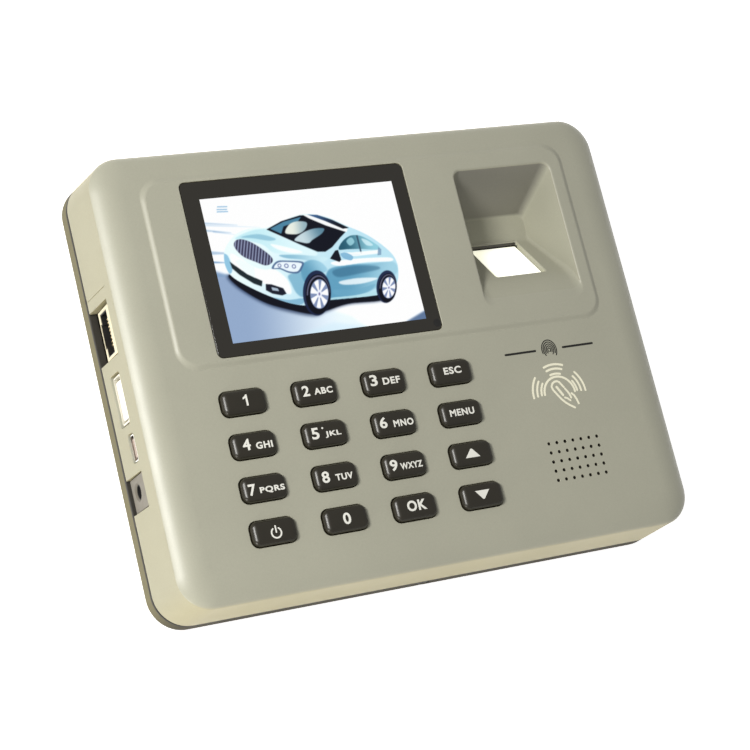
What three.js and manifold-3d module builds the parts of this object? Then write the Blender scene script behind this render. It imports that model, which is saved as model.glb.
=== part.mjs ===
// Wall terminal with a fingerprint reader, a colour display, a 16-key pad and a card reader.
// Frame: the terminal lies on its back. +Z is the front face's normal, +Y its top edge, +X its right side.
// Origin: centre of the back, on the plane of the back. Millimetres.
import * as THREE from 'three';
import { mergeVertices } from 'three/addons/utils/BufferGeometryUtils.js';
import Module from 'manifold-3d';

const wasm = await Module();
wasm.setup();

// ---------- driving dimensions ----------
const CASE_W = 157.0;          // width at the shoulder edge
const CASE_H = 124.0;          // height at the shoulder edge
const CORNER_R = 9.3;          // plan corner radius at the shoulder
const DRAFT = 0.048;           // outward draft of the side walls towards the back
const Z_SEAM = 5.5;            // top of the rear cover
const SEAM_GAP = 0.45;         // open joint between the covers
const Z_SHOULDER = 23.9;       // top of the side walls
const Z_FACE = 26.8;           // main front face
const Z_PLATEAU = 27.4;        // raised panel round display and reader
const WALL = 2.2;              // wall thickness of both covers
const Z_CEIL = 24.5;           // underside of the front face
const GAP = 0.3;               // clearance between neighbouring pieces

const LENS = { x0: -54.27, x1: 13.31, y0: 2.73, y1: 52.33, r: 1.6, z0: 26.2, z1: 27.35 };
const ACTIVE = { x0: -49.35, x1: 8.95, y0: 6.28, y1: 47.24 };
const PLATEAU = { x0: -66.1, x1: 66.1, y0: 0.2, y1: 54.6, r: 6.0 };

const KEY = { x: -50.24, y: -9.93, px: 20.79, py: 11.787, w: 12.7, h: 6.75, r: 2.0, top: 28.6, travel: 0.9 };
const KEY_NAMES = [
  ['key_1', 'key_2', 'key_3', 'key_esc'],
  ['key_4', 'key_5', 'key_6', 'key_menu'],
  ['key_7', 'key_8', 'key_9', 'key_up'],
  ['key_power', 'key_0', 'key_ok', 'key_down'],
];

const WELL = { x0: 29.0, x1: 61.0, slope: 0.18 };   // slope: side wall draft, mm per mm of depth
const WELL_YZ = [                       // section of the finger well
  [48.7, 27.4], [39.3, 11.3], [38.4, 10.5], [32.4, 10.5], [30.95, 10.83], [29.63, 11.57],
  [16.8, 23.14], [14.0, 25.19], [11.39, 26.4], [8.62, 27.15], [5.75, 27.4],
];
const WIN = { cy: 22.85, cz: 16.0, len: 17.9, w: 16.3, cx: 45.2 };   // reader window, sunk 1.25 below the ramp
const U = [-0.743, 0.670];              // up the ramp, in (y, z)
const N = [0.670, 0.743];               // out of the ramp, in (y, z)

const GRILLE = { x: 45.15, y: -39.37, px: 2.64, py: 2.65, nx: 7, ny: 5, r: 0.47 };

const BOARD = { x0: -73.5, x1: 24.0, y0: -58, y1: 58, z0: 17.9, z1: 19.5 };
const JACK_X = -78.6;                   // plane of the socket faces
const RJ = { y0: 9.95, y1: 23.65, z0: 10.6, z1: 19.2, depth: 16.5 };
const USB = { y0: -8.3, y1: 5.0, z0: 11.1, z1: 17.2, depth: 14 };
const MICRO = { y0: -19.0, y1: -11.7, z0: 14.1, z1: 17.55, depth: 6 };
const DC = { y0: -31.3, y1: -22.2, z0: 6.8, z1: 17.5, depth: 14, hy: -26.3, hz: 11.4, hr: 2.0 };
const CASE_SCREWS = [[-70.5, 54], [70.5, 54], [-70.5, -54], [70.5, -54]];
const BOARD_SCREWS = [[-45, 56], [15, 56], [-45, -56], [15, -56]];
const LOCK_Z = 3.2;
const PLATE = { w: 118, h: 88, z0: 0.2, z1: 1.4 };

// ---------- shape helpers ----------
function toManifold(g) {
  const h = g.index ? g.clone() : g.clone();
  for (const k of Object.keys(h.attributes)) if (k !== 'position') h.deleteAttribute(k);
  const m = mergeVertices(h, 1e-5);
  return new wasm.Manifold(new wasm.Mesh({
    numProp: 3,
    vertProperties: new Float32Array(m.attributes.position.array),
    triVerts: new Uint32Array(m.index.array),
  }));
}
function toGeometry(man) {
  const m = man.getMesh();
  const g = new THREE.BufferGeometry();
  const p = new Float32Array((m.vertProperties.length / m.numProp) * 3);
  for (let i = 0; i < p.length / 3; i++) for (let k = 0; k < 3; k++) p[3 * i + k] = m.vertProperties[m.numProp * i + k];
  g.setAttribute('position', new THREE.BufferAttribute(p, 3));
  g.setIndex(new THREE.BufferAttribute(new Uint32Array(m.triVerts), 1));
  return g;
}
const box = (x0, x1, y0, y1, z0, z1) =>
  new THREE.BoxGeometry(x1 - x0, y1 - y0, z1 - z0).translate((x0 + x1) / 2, (y0 + y1) / 2, (z0 + z1) / 2);
const cylZ = (x, y, z0, z1, r, seg = 16) =>
  new THREE.CylinderGeometry(r, r, z1 - z0, seg).rotateX(Math.PI / 2).translate(x, y, (z0 + z1) / 2);
const cylX = (x0, x1, y, z, r, seg = 16) =>
  new THREE.CylinderGeometry(r, r, x1 - x0, seg).rotateZ(Math.PI / 2).translate((x0 + x1) / 2, y, z);
const lathe = (profile, seg = 20) =>
  new THREE.LatheGeometry(profile.map((p) => new THREE.Vector2(p[0], p[1])), seg).rotateX(Math.PI / 2);
function shapeOf(pts) { return new THREE.Shape(pts.map((p) => new THREE.Vector2(p[0], p[1]))); }
function extrudeX(yz, x0, x1) {         // profile in (y, z), run along X
  const g = new THREE.ExtrudeGeometry(shapeOf(yz), { depth: x1 - x0, bevelEnabled: false });
  g.applyMatrix4(new THREE.Matrix4().makeBasis(new THREE.Vector3(0, 1, 0), new THREE.Vector3(0, 0, 1), new THREE.Vector3(1, 0, 0)));
  return g.translate(x0, 0, 0);
}
function extrudeY(zx, y0, y1) {         // profile in (z, x), run along Y
  const g = new THREE.ExtrudeGeometry(shapeOf(zx), { depth: y1 - y0, bevelEnabled: false });
  g.applyMatrix4(new THREE.Matrix4().makeBasis(new THREE.Vector3(0, 0, 1), new THREE.Vector3(1, 0, 0), new THREE.Vector3(0, 1, 0)));
  return g.translate(0, y0, 0);
}
function roundRect(x0, x1, y0, y1, r, seg = 5) {
  const pts = [];
  const c = [[x1 - r, y1 - r, 0], [x0 + r, y1 - r, 90], [x0 + r, y0 + r, 180], [x1 - r, y0 + r, 270]];
  for (const [cx, cy, a0] of c) for (let k = 0; k <= seg; k++) {
    const a = ((a0 + (90 * k) / seg) * Math.PI) / 180;
    pts.push([cx + r * Math.cos(a), cy + r * Math.sin(a)]);
  }
  return pts;
}
function loft(rings) {                  // rings bottom to top, each { pts, z }, equal counts, convex
  const n = rings[0].pts.length; const pos = []; const idx = [];
  for (const r of rings) for (const p of r.pts) pos.push(p[0], p[1], r.z);
  for (let k = 0; k + 1 < rings.length; k++) for (let i = 0; i < n; i++) {
    const j = (i + 1) % n; const a = k * n + i; const b = k * n + j; const c = a + n; const d = b + n;
    idx.push(a, b, d, a, d, c);
  }
  const cap = (base, up) => { for (let i = 1; i + 1 < n; i++) up ? idx.push(base, base + i, base + i + 1) : idx.push(base, base + i + 1, base + i); };
  cap(0, false); cap((rings.length - 1) * n, true);
  const g = new THREE.BufferGeometry();
  g.setAttribute('position', new THREE.Float32BufferAttribute(pos, 3));
  g.setIndex(idx);
  return g;
}
const ringAt = (z, inset, seg = 6) => {
  const g = DRAFT * (Z_SHOULDER - Math.min(z, Z_SHOULDER));
  const w = CASE_W / 2 + g - inset; const h = CASE_H / 2 + g - inset;
  return { pts: roundRect(-w, w, -h, h, Math.max(1.2, CORNER_R + 0.3 * g - 0.75 * inset), seg), z };
};
const slab = (x0, x1, y0, y1, z0, z1, r, seg = 4) =>
  loft([{ pts: roundRect(x0, x1, y0, y1, r, seg), z: z0 }, { pts: roundRect(x0, x1, y0, y1, r, seg), z: z1 }]);
const cut = (a, ...bs) => bs.reduce((m, b) => m.subtract(toManifold(b)), a);
const join = (a, ...bs) => bs.reduce((m, b) => m.add(toManifold(b)), a);
function offsetOpen(poly, d) {          // moves an open chain sideways by d
  const out = [];
  for (let i = 0; i < poly.length; i++) {
    const a = poly[Math.max(0, i - 1)]; const b = poly[i]; const c = poly[Math.min(poly.length - 1, i + 1)];
    const n1 = i > 0 ? nrm(a, b) : nrm(b, c); const n2 = i < poly.length - 1 ? nrm(b, c) : nrm(a, b);
    const s = [n1[0] + n2[0], n1[1] + n2[1]]; const l = 2 / (s[0] * s[0] + s[1] * s[1]);
    out.push([b[0] + d * s[0] * l, b[1] + d * s[1] * l]);
  }
  return out;
}
function nrm(a, b) { const dx = b[0] - a[0]; const dy = b[1] - a[1]; const l = Math.hypot(dx, dy); return [dy / l, -dx / l]; }

const group = new THREE.Group();
function add(name, geo, color, roughness, metalness) {
  const g = geo instanceof THREE.BufferGeometry ? geo : toGeometry(geo);
  const mesh = new THREE.Mesh(g, new THREE.MeshStandardMaterial({ color, roughness, metalness }));
  mesh.name = name;
  group.add(mesh);
  return mesh;
}

// ---------- front cover ----------
const shoulder = [[0, 0], [0.7, 0.85], [2.0, 1.6], [4.3, 2.35], [7.6, 2.9]];
let front = toManifold(loft([
  ringAt(Z_SEAM + SEAM_GAP, 0),
  ...shoulder.map(([i, h]) => ringAt(Z_SHOULDER + h, i)),
]));
front = join(front, loft([
  { pts: roundRect(PLATEAU.x0, PLATEAU.x1, PLATEAU.y0, PLATEAU.y1, PLATEAU.r, 6), z: Z_FACE - 0.3 },
  { pts: roundRect(PLATEAU.x0, PLATEAU.x1, PLATEAU.y0, PLATEAU.y1, PLATEAU.r, 6), z: Z_FACE },
  { pts: roundRect(PLATEAU.x0 + 1.1, PLATEAU.x1 - 1.1, PLATEAU.y0 + 1.1, PLATEAU.y1 - 1.1, PLATEAU.r - 1.1, 6), z: Z_PLATEAU },
]));
front = cut(front, loft([ringAt(-1, WALL), ringAt(21.2, WALL), ringAt(23.1, WALL + 2.2), ringAt(Z_CEIL, WALL + 6.2)]));

// finger well, added as a shell that hangs from the face
const top = (poly, z) => [[poly[0][0], z], ...poly, [poly[poly.length - 1][0], z]];
const wellVoidYZ = top(WELL_YZ, 30);
const taper = (grow) => {
  const e = (z) => (Z_PLATEAU - z) * WELL.slope;
  const zb = 3;
  return [[zb, WELL.x0 + e(zb) - grow], [30, WELL.x0 + e(30) - grow], [30, WELL.x1 - e(30) + grow], [zb, WELL.x1 - e(zb) + grow]];
};
const wellVoid = toManifold(extrudeX(wellVoidYZ, WELL.x0 - 4, WELL.x1 + 4)).intersect(toManifold(extrudeY(taper(0), 0, 60)));
const outerYZ = offsetOpen(WELL_YZ, -2.0);
const wellShell = toManifold(extrudeX(top(outerYZ, 31), WELL.x0 - 6, WELL.x1 + 6))
  .intersect(toManifold(extrudeY(taper(2.0), 0, 60)))
  .intersect(toManifold(box(20, 70, 0, 60, 4, Z_FACE - 0.5)));
front = front.add(wellShell);

// screw bosses
for (const [x, y] of CASE_SCREWS) front = join(front, cylZ(x, y, Z_SEAM + SEAM_GAP + 0.2, Z_CEIL + 0.6, 3.3, 14));
for (const [x, y] of BOARD_SCREWS) front = join(front, cylZ(x, y, BOARD.z1 + 0.1, Z_CEIL + 0.6, 2.7, 12));
front = front.subtract(wellVoid);
for (const [x, y] of CASE_SCREWS) front = cut(front, cylZ(x, y, 0, 17, 1.7, 10));
for (const [x, y] of BOARD_SCREWS) front = cut(front, cylZ(x, y, 0, 23.6, 1.3, 8));

// reader window opening, square to the ramp
const tilt = (g) => {                   // local x stays, local y runs up the ramp, local z out of it
  g.applyMatrix4(new THREE.Matrix4().makeBasis(new THREE.Vector3(-1, 0, 0), new THREE.Vector3(0, U[0], U[1]), new THREE.Vector3(0, N[0], N[1])));
  return g.translate(WIN.cx, WIN.cy, WIN.cz);
};
front = cut(front, tilt(box(-WIN.w / 2 - GAP, WIN.w / 2 + GAP, -WIN.len / 2 - GAP, WIN.len / 2 + GAP, -3.4, 1.5)));

// display pocket and aperture
front = cut(front,
  slab(LENS.x0 - GAP, LENS.x1 + GAP, LENS.y0 - GAP, LENS.y1 + GAP, 25.5, 30, LENS.r + GAP, 4),
  box(ACTIVE.x0 - 1.5, ACTIVE.x1 + 1.5, ACTIVE.y0 - 1.5, ACTIVE.y1 + 1.5, 20, 30));

// key openings
for (let j = 0; j < 4; j++) for (let i = 0; i < 4; i++) {
  const x = KEY.x + i * KEY.px; const y = KEY.y - j * KEY.py;
  front = cut(front, slab(x - KEY.w / 2 - GAP, x + KEY.w / 2 + GAP, y - KEY.h / 2 - GAP, y + KEY.h / 2 + GAP, 22, 30, KEY.r + GAP, 3));
}
// speaker grille
for (let j = 0; j < GRILLE.ny; j++) for (let i = 0; i < GRILLE.nx; i++) {
  front = cut(front, cylZ(GRILLE.x + (i - 3) * GRILLE.px, GRILLE.y + (j - 2) * GRILLE.py, 22, 30, GRILLE.r, 6));
}
// socket openings in the left wall
front = cut(front,
  box(-84, -72, 9.6, 25.0, 0, 19.8),
  extrudeX(roundRect(-8.9, 5.6, 10.75, 17.55, 0.9, 3), -84, -72),
  extrudeX(roundRect(-19.35, -11.35, 13.75, 17.9, 0.9, 3), -84, -72),
  box(-84, -72, -31.6, -21.9, 0, 17.8));
add('front_cover', front, 0xa9a698, 0.42, 0.15);

// ---------- rear cover ----------
let rear = toManifold(loft([ringAt(0, 1.5), ringAt(0.45, 0.55), ringAt(1.4, 0.05), ringAt(2.0, 0), ringAt(Z_SEAM, 0)]));
rear = cut(rear, loft([ringAt(2.0, WALL), ringAt(9, WALL)]));
rear = join(rear, slab(-PLATE.w / 2 - 2, PLATE.w / 2 + 2, -PLATE.h / 2 - 2, PLATE.h / 2 + 2, 1.9, 3.2, 4, 4));
for (const [x, y] of CASE_SCREWS) rear = join(rear, cylZ(x, y, 1.8, Z_SEAM, 4.0, 14));
// locating lip that stands inside the front cover
const lipOuter = [ringAt(1.9, WALL + 0.35), ringAt(7.8, WALL + 0.35)];
const lipInner = [ringAt(1.0, WALL + 1.55), ringAt(9, WALL + 1.55)];
let lip = cut(toManifold(loft(lipOuter)), loft(lipInner), box(-90, -65, -33.5, 27, 2.6, 12),
  box(-90, -62, -70, -46, 4.9, 12), box(-90, -62, 46, 70, 4.9, 12), box(62, 90, -70, -46, 4.9, 12), box(62, 90, 46, 70, 4.9, 12));
rear = rear.add(lip);
rear = rear.add(cut(toManifold(loft([ringAt(1.9, WALL - 0.4), ringAt(Z_SEAM - 0.6, WALL - 0.4)])), loft([ringAt(1.0, WALL + 1.55), ringAt(9, WALL + 1.55)])));
// pocket for the wall plate
rear = cut(rear, slab(-PLATE.w / 2 - GAP, PLATE.w / 2 + GAP, -PLATE.h / 2 - GAP, PLATE.h / 2 + GAP, -1, 1.75, 3.3, 4),
  box(-7, 7, -43.6, -38.8, 0, 6), box(-1.7, 1.7, -47, -43, 1.5, 6));
for (const [x, y] of CASE_SCREWS) rear = cut(rear, cylZ(x, y, -1, 8, 1.75, 12), cylZ(x, y, -1, 2.6, 3.1, 14));
rear = cut(rear, new THREE.CylinderGeometry(1.5, 1.5, 12, 12).translate(0, -60, LOCK_Z), new THREE.CylinderGeometry(2.15, 2.15, 6, 14).translate(0, -64, LOCK_Z));
add('rear_cover', rear, 0x9c9272, 0.5, 0.1);

// ---------- wall plate ----------
let plate = toManifold(slab(-PLATE.w / 2, PLATE.w / 2, -PLATE.h / 2, PLATE.h / 2, PLATE.z0, PLATE.z1, 3, 4));
plate = join(plate, box(-6, 6, -42.4, -41.0, PLATE.z0 + 0.2, 5.6));
for (const [x, y] of [[-45, 30], [45, 30], [-45, -30], [45, -30]]) plate = cut(plate, cylZ(x, y, -1, 3, 2.3, 14));
plate = cut(plate, cylZ(0, 5, -1, 3, 12, 24), box(-34, -20, -4, 4, -1, 3), box(20, 34, -4, 4, -1, 3),
  new THREE.CylinderGeometry(1.5, 1.5, 6, 12).translate(0, -42, LOCK_Z));
add('wall_plate', plate, 0xb9bcbd, 0.35, 0.9);

// ---------- screws ----------
function screw(x, y, zHead, headR, headH, shaftR, zTip) {   // head down, shaft up
  let s = toManifold(lathe([[0, zHead], [headR - 0.35, zHead], [headR, zHead + 0.35], [headR, zHead + headH], [shaftR, zHead + headH], [shaftR, zTip - 0.8], [shaftR * 0.45, zTip], [0, zTip]], 10));
  s = cut(s, box(-headR * 0.62, headR * 0.62, -0.32, 0.32, zHead - 1, zHead + headH * 0.6),
    box(-0.32, 0.32, -headR * 0.62, headR * 0.62, zHead - 1, zHead + headH * 0.6));
  return toGeometry(s).translate(x, y, 0);
}
CASE_SCREWS.forEach(([x, y], i) => add(`case_screw_${i + 1}`, screw(x, y, 0.75, 2.7, 1.6, 1.4, 15.5), 0x8d8f90, 0.35, 0.95));
BOARD_SCREWS.forEach(([x, y], i) => add(`board_screw_${i + 1}`, screw(x, y, BOARD.z0 - 1.75, 2.2, 1.5, 0.95, 23.2), 0x8d8f90, 0.35, 0.95));
{
  let s = toManifold(lathe([[0, 0], [1.6, 0], [1.85, 0.3], [1.85, 1.6], [1.2, 1.6], [1.2, 21.6], [0.5, 22.4], [0, 22.4]], 14));
  s = cut(s, box(-1.1, 1.1, -0.25, 0.25, -1, 0.9), box(-0.25, 0.25, -1.1, 1.1, -1, 0.9));
  const g = toGeometry(s).rotateX(-Math.PI / 2).translate(0, -62.75, LOCK_Z);   // runs along +Y from the bottom edge
  add('plate_lock_screw', g, 0x8d8f90, 0.35, 0.95);
}

// ---------- display ----------
add('display_lens', loft([
  { pts: roundRect(LENS.x0, LENS.x1, LENS.y0, LENS.y1, LENS.r, 4), z: LENS.z0 },
  { pts: roundRect(LENS.x0, LENS.x1, LENS.y0, LENS.y1, LENS.r, 4), z: LENS.z1 - 0.25 },
  { pts: roundRect(LENS.x0 + 0.25, LENS.x1 - 0.25, LENS.y0 + 0.25, LENS.y1 - 0.25, LENS.r - 0.25, 4), z: LENS.z1 },
]), 0x2a2824, 0.12, 0.0);
add('lens_gasket', cut(toManifold(slab(LENS.x0 + 0.4, LENS.x1 - 0.4, LENS.y0 + 0.4, LENS.y1 - 0.4, 25.6, 26.1, 1.2)),
  box(ACTIVE.x0 - 1.2, ACTIVE.x1 + 1.2, ACTIVE.y0 - 1.2, ACTIVE.y1 + 1.2, 20, 30)), 0x191919, 0.9, 0);
const LCD = { x0: -54.8, x1: 14.4, y0: 2.4, y1: 51.6 };
add('lcd_frame', cut(toManifold(box(LCD.x0, LCD.x1, LCD.y0, LCD.y1, 20.5, 24.3)),
  box(LCD.x0 + 0.6, LCD.x1 - 0.6, LCD.y0 + 0.6, LCD.y1 - 0.6, 20.9, 23.9),
  box(ACTIVE.x0 - 1, ACTIVE.x1 + 1, ACTIVE.y0 - 1, ACTIVE.y1 + 1, 22, 26)), 0xb4b7b9, 0.3, 0.9);
add('lcd_backlight', box(LCD.x0 + 0.9, LCD.x1 - 0.9, LCD.y0 + 0.9, LCD.y1 - 0.9, 21.0, 22.2), 0xf1f3f2, 0.6, 0);
add('lcd_glass', box(LCD.x0 + 0.9, LCD.x1 - 0.9, LCD.y0 + 0.9, LCD.y1 - 0.9, 22.35, 23.75), 0x9fc8dd, 0.15, 0);
add('lcd_ribbon', extrudeX([[38, 19.75], [54.2, 19.75], [54.2, 20.0], [38, 20.0]], -32, -10), 0xb06a24, 0.5, 0);

// ---------- fingerprint reader ----------
add('sensor_window', tilt(loft([
  { pts: roundRect(-WIN.w / 2, WIN.w / 2, -WIN.len / 2, WIN.len / 2, 0.5, 2), z: -2.6 },
  { pts: roundRect(-WIN.w / 2, WIN.w / 2, -WIN.len / 2, WIN.len / 2, 0.5, 2), z: -0.35 },
  { pts: roundRect(-WIN.w / 2 + 0.2, WIN.w / 2 - 0.2, -WIN.len / 2 + 0.2, WIN.len / 2 - 0.2, 0.4, 2), z: -0.12 },
])), 0xf6f3e6, 0.08, 0);
add('sensor_gasket', toGeometry(cut(toManifold(box(-10, 10, -10.0, 10.4, -2.6, -0.95)), box(-8.45, 8.45, -9.25, 9.25, -4, 0))).applyMatrix4(
  new THREE.Matrix4().makeBasis(new THREE.Vector3(-1, 0, 0), new THREE.Vector3(0, U[0], U[1]), new THREE.Vector3(0, N[0], N[1])).setPosition(WIN.cx, WIN.cy, WIN.cz)), 0x1c1c1c, 0.9, 0);
const P = (s, d) => [WIN.cy + s * U[0] - d * N[0], WIN.cz + s * U[1] - d * N[1]];
{
  const a = P(-9.7, 2.8); const b = P(10.4, 2.8);
  let h = toManifold(extrudeX([a, b, [b[0], 5.3], [a[0] - 1.2, 5.3]].reverse(), 35.2, 55.2));
  const c = P(-7.0, 1.5); const e = P(8.3, 1.5);
  h = cut(h, extrudeX([c, e, [e[0] + 1.4, 4.5], [c[0] - 4.2, 4.5]].reverse(), 38, 52.4));
  add('sensor_housing', h, 0x23252a, 0.55, 0);
}
add('sensor_board', cut(toManifold(box(33.5, 56.9, 11.2, 30.2, 3.5, 4.9)), cylZ(36, 13.5, 2, 6, 1.2, 10), cylZ(54.4, 13.5, 2, 6, 1.2, 10)), 0x1e5a36, 0.5, 0.1);
add('sensor_cable', extrudeY([[3.9, 33.1], [3.9, 20.2], [17.5, 20.2], [17.5, 20.8], [4.5, 20.8], [4.5, 33.1]], 16, 25), 0xd8d6cc, 0.6, 0);

// ---------- keys ----------
for (let j = 0; j < 4; j++) for (let i = 0; i < 4; i++) {
  const x = KEY.x + i * KEY.px; const y = KEY.y - j * KEY.py;
  const ring = (inset, z, r) => ({ pts: roundRect(x - KEY.w / 2 + inset, x + KEY.w / 2 - inset, y - KEY.h / 2 + inset, y + KEY.h / 2 - inset, r, 2), z });
  add(KEY_NAMES[j][i], loft([
    ring(-0.8, 23.0, 1.6), ring(-0.8, 24.2, 1.6),
    ring(0, 24.2, KEY.r), ring(0, KEY.top - 0.75, KEY.r), ring(0.28, KEY.top - 0.22, KEY.r - 0.28), ring(1.0, KEY.top, KEY.r - 1.0),
  ]), 0x37332c, 0.3, 0);
}
const PAD = { x0: KEY.x - 10.3, x1: KEY.x + 3 * KEY.px + 10.3, y0: KEY.y - 3 * KEY.py - 6.4, y1: KEY.y + 6.2 };
let mat = toManifold(slab(PAD.x0, PAD.x1, PAD.y0, PAD.y1, 21.4, 22.9, 1.5));
for (let j = 0; j < 4; j++) for (let i = 0; i < 4; i++) {
  const x = KEY.x + i * KEY.px; const y = KEY.y - j * KEY.py;
  mat = cut(mat, box(x - KEY.w / 2 - 1.1, x + KEY.w / 2 + 1.1, y - KEY.h / 2 - 1.1, y + KEY.h / 2 + 1.1, 21.75, 25));
}
add('keypad_mat', mat, 0x8c8f8c, 0.85, 0);
add('keypad_board', cut(toManifold(box(PAD.x0, PAD.x1, PAD.y0, PAD.y1, 20.05, 21.25)), cylZ(PAD.x0 + 2.4, PAD.y0 + 2.4, 18, 24, 1.1, 8), cylZ(PAD.x1 - 2.4, PAD.y0 + 2.4, 18, 24, 1.1, 8)), 0x1e5a36, 0.5, 0.1);
add('keypad_ribbon', extrudeX([[-12, 19.65], [0.5, 19.65], [0.5, 19.9], [-12, 19.9]], -34, -14), 0xd8d6cc, 0.5, 0);

// ---------- speaker ----------
const at = (g, x, y) => g.translate(x, y, 0);
add('speaker_mesh', slab(GRILLE.x - 9.6, GRILLE.x + 9.6, GRILLE.y - 7, GRILLE.y + 7, 24.0, 24.3, 1.5), 0x141414, 0.95, 0);
add('speaker_basket', at(lathe([[5.2, 17.0], [12.2, 21.4], [13.2, 21.4], [13.2, 23.8], [11.6, 23.8], [11.6, 22.3], [5.2, 18.3], [5.2, 17.0]], 24), GRILLE.x, GRILLE.y), 0x6d7073, 0.4, 0.8);
add('speaker_cone', at(lathe([[0, 19.4], [3.0, 19.7], [4.2, 19.2], [10.9, 22.7], [11.3, 22.7], [11.3, 23.1], [10.8, 23.1], [4.2, 19.7], [3.2, 20.4], [0, 21.1]], 24), GRILLE.x, GRILLE.y), 0x1b1b1c, 0.8, 0);
add('speaker_magnet', at(lathe([[0, 12.6], [7.2, 12.6], [7.6, 13.0], [7.6, 16.4], [4.9, 16.7], [4.9, 18.4], [0, 18.4]], 20), GRILLE.x, GRILLE.y), 0x55585b, 0.45, 0.7);
{
  const curve = new THREE.CatmullRomCurve3([[37.0, -36.5, 14.6], [34.2, -36.5, 15.0], [30.5, -36.0, 16.4], [27.5, -35.6, 18.0], [24.5, -35.5, 18.8]].map((p) => new THREE.Vector3(...p)));
  const c = []; for (let k = 0; k < 8; k++) c.push(new THREE.Vector2(0.75 * Math.cos((k * Math.PI) / 4), 0.75 * Math.sin((k * Math.PI) / 4)));
  add('speaker_lead', new THREE.ExtrudeGeometry(new THREE.Shape(c), { extrudePath: curve, steps: 14, bevelEnabled: false }), 0xb3281f, 0.6, 0);
}

// ---------- boards ----------
add('antenna_board', cut(toManifold(box(26.5, 63.5, -25, -0.5, 22.9, 24.1)), box(32.5, 57.5, -20, -6, 20, 26)), 0x1e5a36, 0.5, 0.1);
let board = toManifold(box(BOARD.x0, BOARD.x1, BOARD.y0, BOARD.y1, BOARD.z0, BOARD.z1));
board = cut(board, box(-80, -64, 46, 60, 10, 30), box(-80, -64, -60, -46, 10, 30),
  box(-80, JACK_X + RJ.depth + 0.4, RJ.y0 - 0.4, RJ.y1 + 0.4, 10, 30));
for (const [x, y] of BOARD_SCREWS) board = cut(board, cylZ(x, y, 10, 30, 1.3, 10));
add('main_board', board, 0x1b5230, 0.5, 0.1);
add('processor_shield', cut(toManifold(loft([
  { pts: roundRect(-32, 0, 8, 38, 1.2, 2), z: 14.9 }, { pts: roundRect(-32.4, 0.4, 7.6, 38.4, 1.4, 2), z: 15.3 }, { pts: roundRect(-32.4, 0.4, 7.6, 38.4, 1.4, 2), z: 17.7 }])),
  box(-31.8, -0.2, 8.2, 37.8, 15.5, 20)), 0xb4b7b9, 0.3, 0.9);
add('coin_cell_holder', cut(toManifold(cylZ(5, -28, 13.2, 17.7, 11.6, 24)), cylZ(5, -28, 12, 16.9, 10.4, 24), box(13, 20, -32, -24, 12, 16.9)), 0x1d1d1f, 0.5, 0);
add('coin_cell', loft([{ pts: roundRect(-4.7, 14.7, -37.7, -18.3, 9.69, 6), z: 13.5 }, { pts: roundRect(-5, 15, -38, -18, 9.99, 6), z: 13.8 }, { pts: roundRect(-5, 15, -38, -18, 9.99, 6), z: 16.6 }]), 0xc9cbcc, 0.25, 0.95);

// ---------- sockets ----------
{
  let j = toManifold(box(JACK_X, JACK_X + RJ.depth, RJ.y0, RJ.y1, RJ.z0, RJ.z1));
  j = cut(j, box(JACK_X - 1, JACK_X + 12.5, RJ.y0 + 0.95, RJ.y1 - 0.95, RJ.z0 + 1.55, RJ.z1 - 0.7),
    box(JACK_X - 1, JACK_X + 12.5, 13.5, 20.1, RJ.z0 + 0.55, RJ.z0 + 2));
  add('ethernet_jack', j, 0xd9cda2, 0.35, 0.7);
  let c = toManifold(box(JACK_X + 11.0, JACK_X + 12.2, 12.4, 21.2, 17.4, 18.2));
  for (let k = 0; k < 8; k++) c = join(c, box(JACK_X + 1.6, JACK_X + 11.5, 13.05 + k * 1.02 - 0.2, 13.05 + k * 1.02 + 0.2, 17.5, 17.9));
  add('ethernet_contacts', c, 0xd2a94a, 0.25, 0.95);
}
{
  let s = toManifold(extrudeX(roundRect(USB.y0, USB.y1, USB.z0, USB.z1, 0.7, 3), JACK_X, JACK_X + USB.depth));
  s = cut(s, extrudeX(roundRect(USB.y0 + 0.45, USB.y1 - 0.45, USB.z0 + 0.45, USB.z1 - 0.45, 0.4, 3), JACK_X - 1, JACK_X + USB.depth - 1.2));
  add('usb_a_shell', s, 0xc8c9c8, 0.28, 0.95);
  add('usb_a_tongue', box(JACK_X + 0.5, JACK_X + 12.4, USB.y0 + 1.5, USB.y1 - 1.5, 14.6, 16.4), 0xf4f3ee, 0.4, 0);
}
{
  let s = toManifold(extrudeX(roundRect(MICRO.y0, MICRO.y1, MICRO.z0, MICRO.z1, 0.8, 3), JACK_X, JACK_X + MICRO.depth));
  s = cut(s, extrudeX(roundRect(MICRO.y0 + 0.35, MICRO.y1 - 0.35, MICRO.z0 + 0.35, MICRO.z1 - 0.35, 0.5, 3), JACK_X - 1, JACK_X + MICRO.depth - 0.9));
  add('micro_usb_shell', s, 0xc8c9c8, 0.28, 0.95);
  add('micro_usb_tongue', box(JACK_X + 0.4, JACK_X + 4.9, MICRO.y0 + 1.2, MICRO.y1 - 1.2, 15.9, 16.6), 0x222226, 0.5, 0);
}
{
  let s = toManifold(box(JACK_X, JACK_X + DC.depth, DC.y0, DC.y1, DC.z0, DC.z1));
  s = cut(s, cylX(JACK_X - 1, JACK_X + 10, DC.hy, DC.hz, DC.hr, 18));
  add('dc_jack', s, 0x77736a, 0.5, 0);
  add('dc_jack_pin', new THREE.CylinderGeometry(0.55, 0.55, 8.6, 12).rotateZ(Math.PI / 2).translate(JACK_X + 1.1 + 4.3, DC.hy, DC.hz), 0xc9cbcc, 0.25, 0.95);
}

export default group;
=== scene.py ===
import bpy, bmesh, math
import numpy as np
from mathutils import Vector, Matrix


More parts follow.
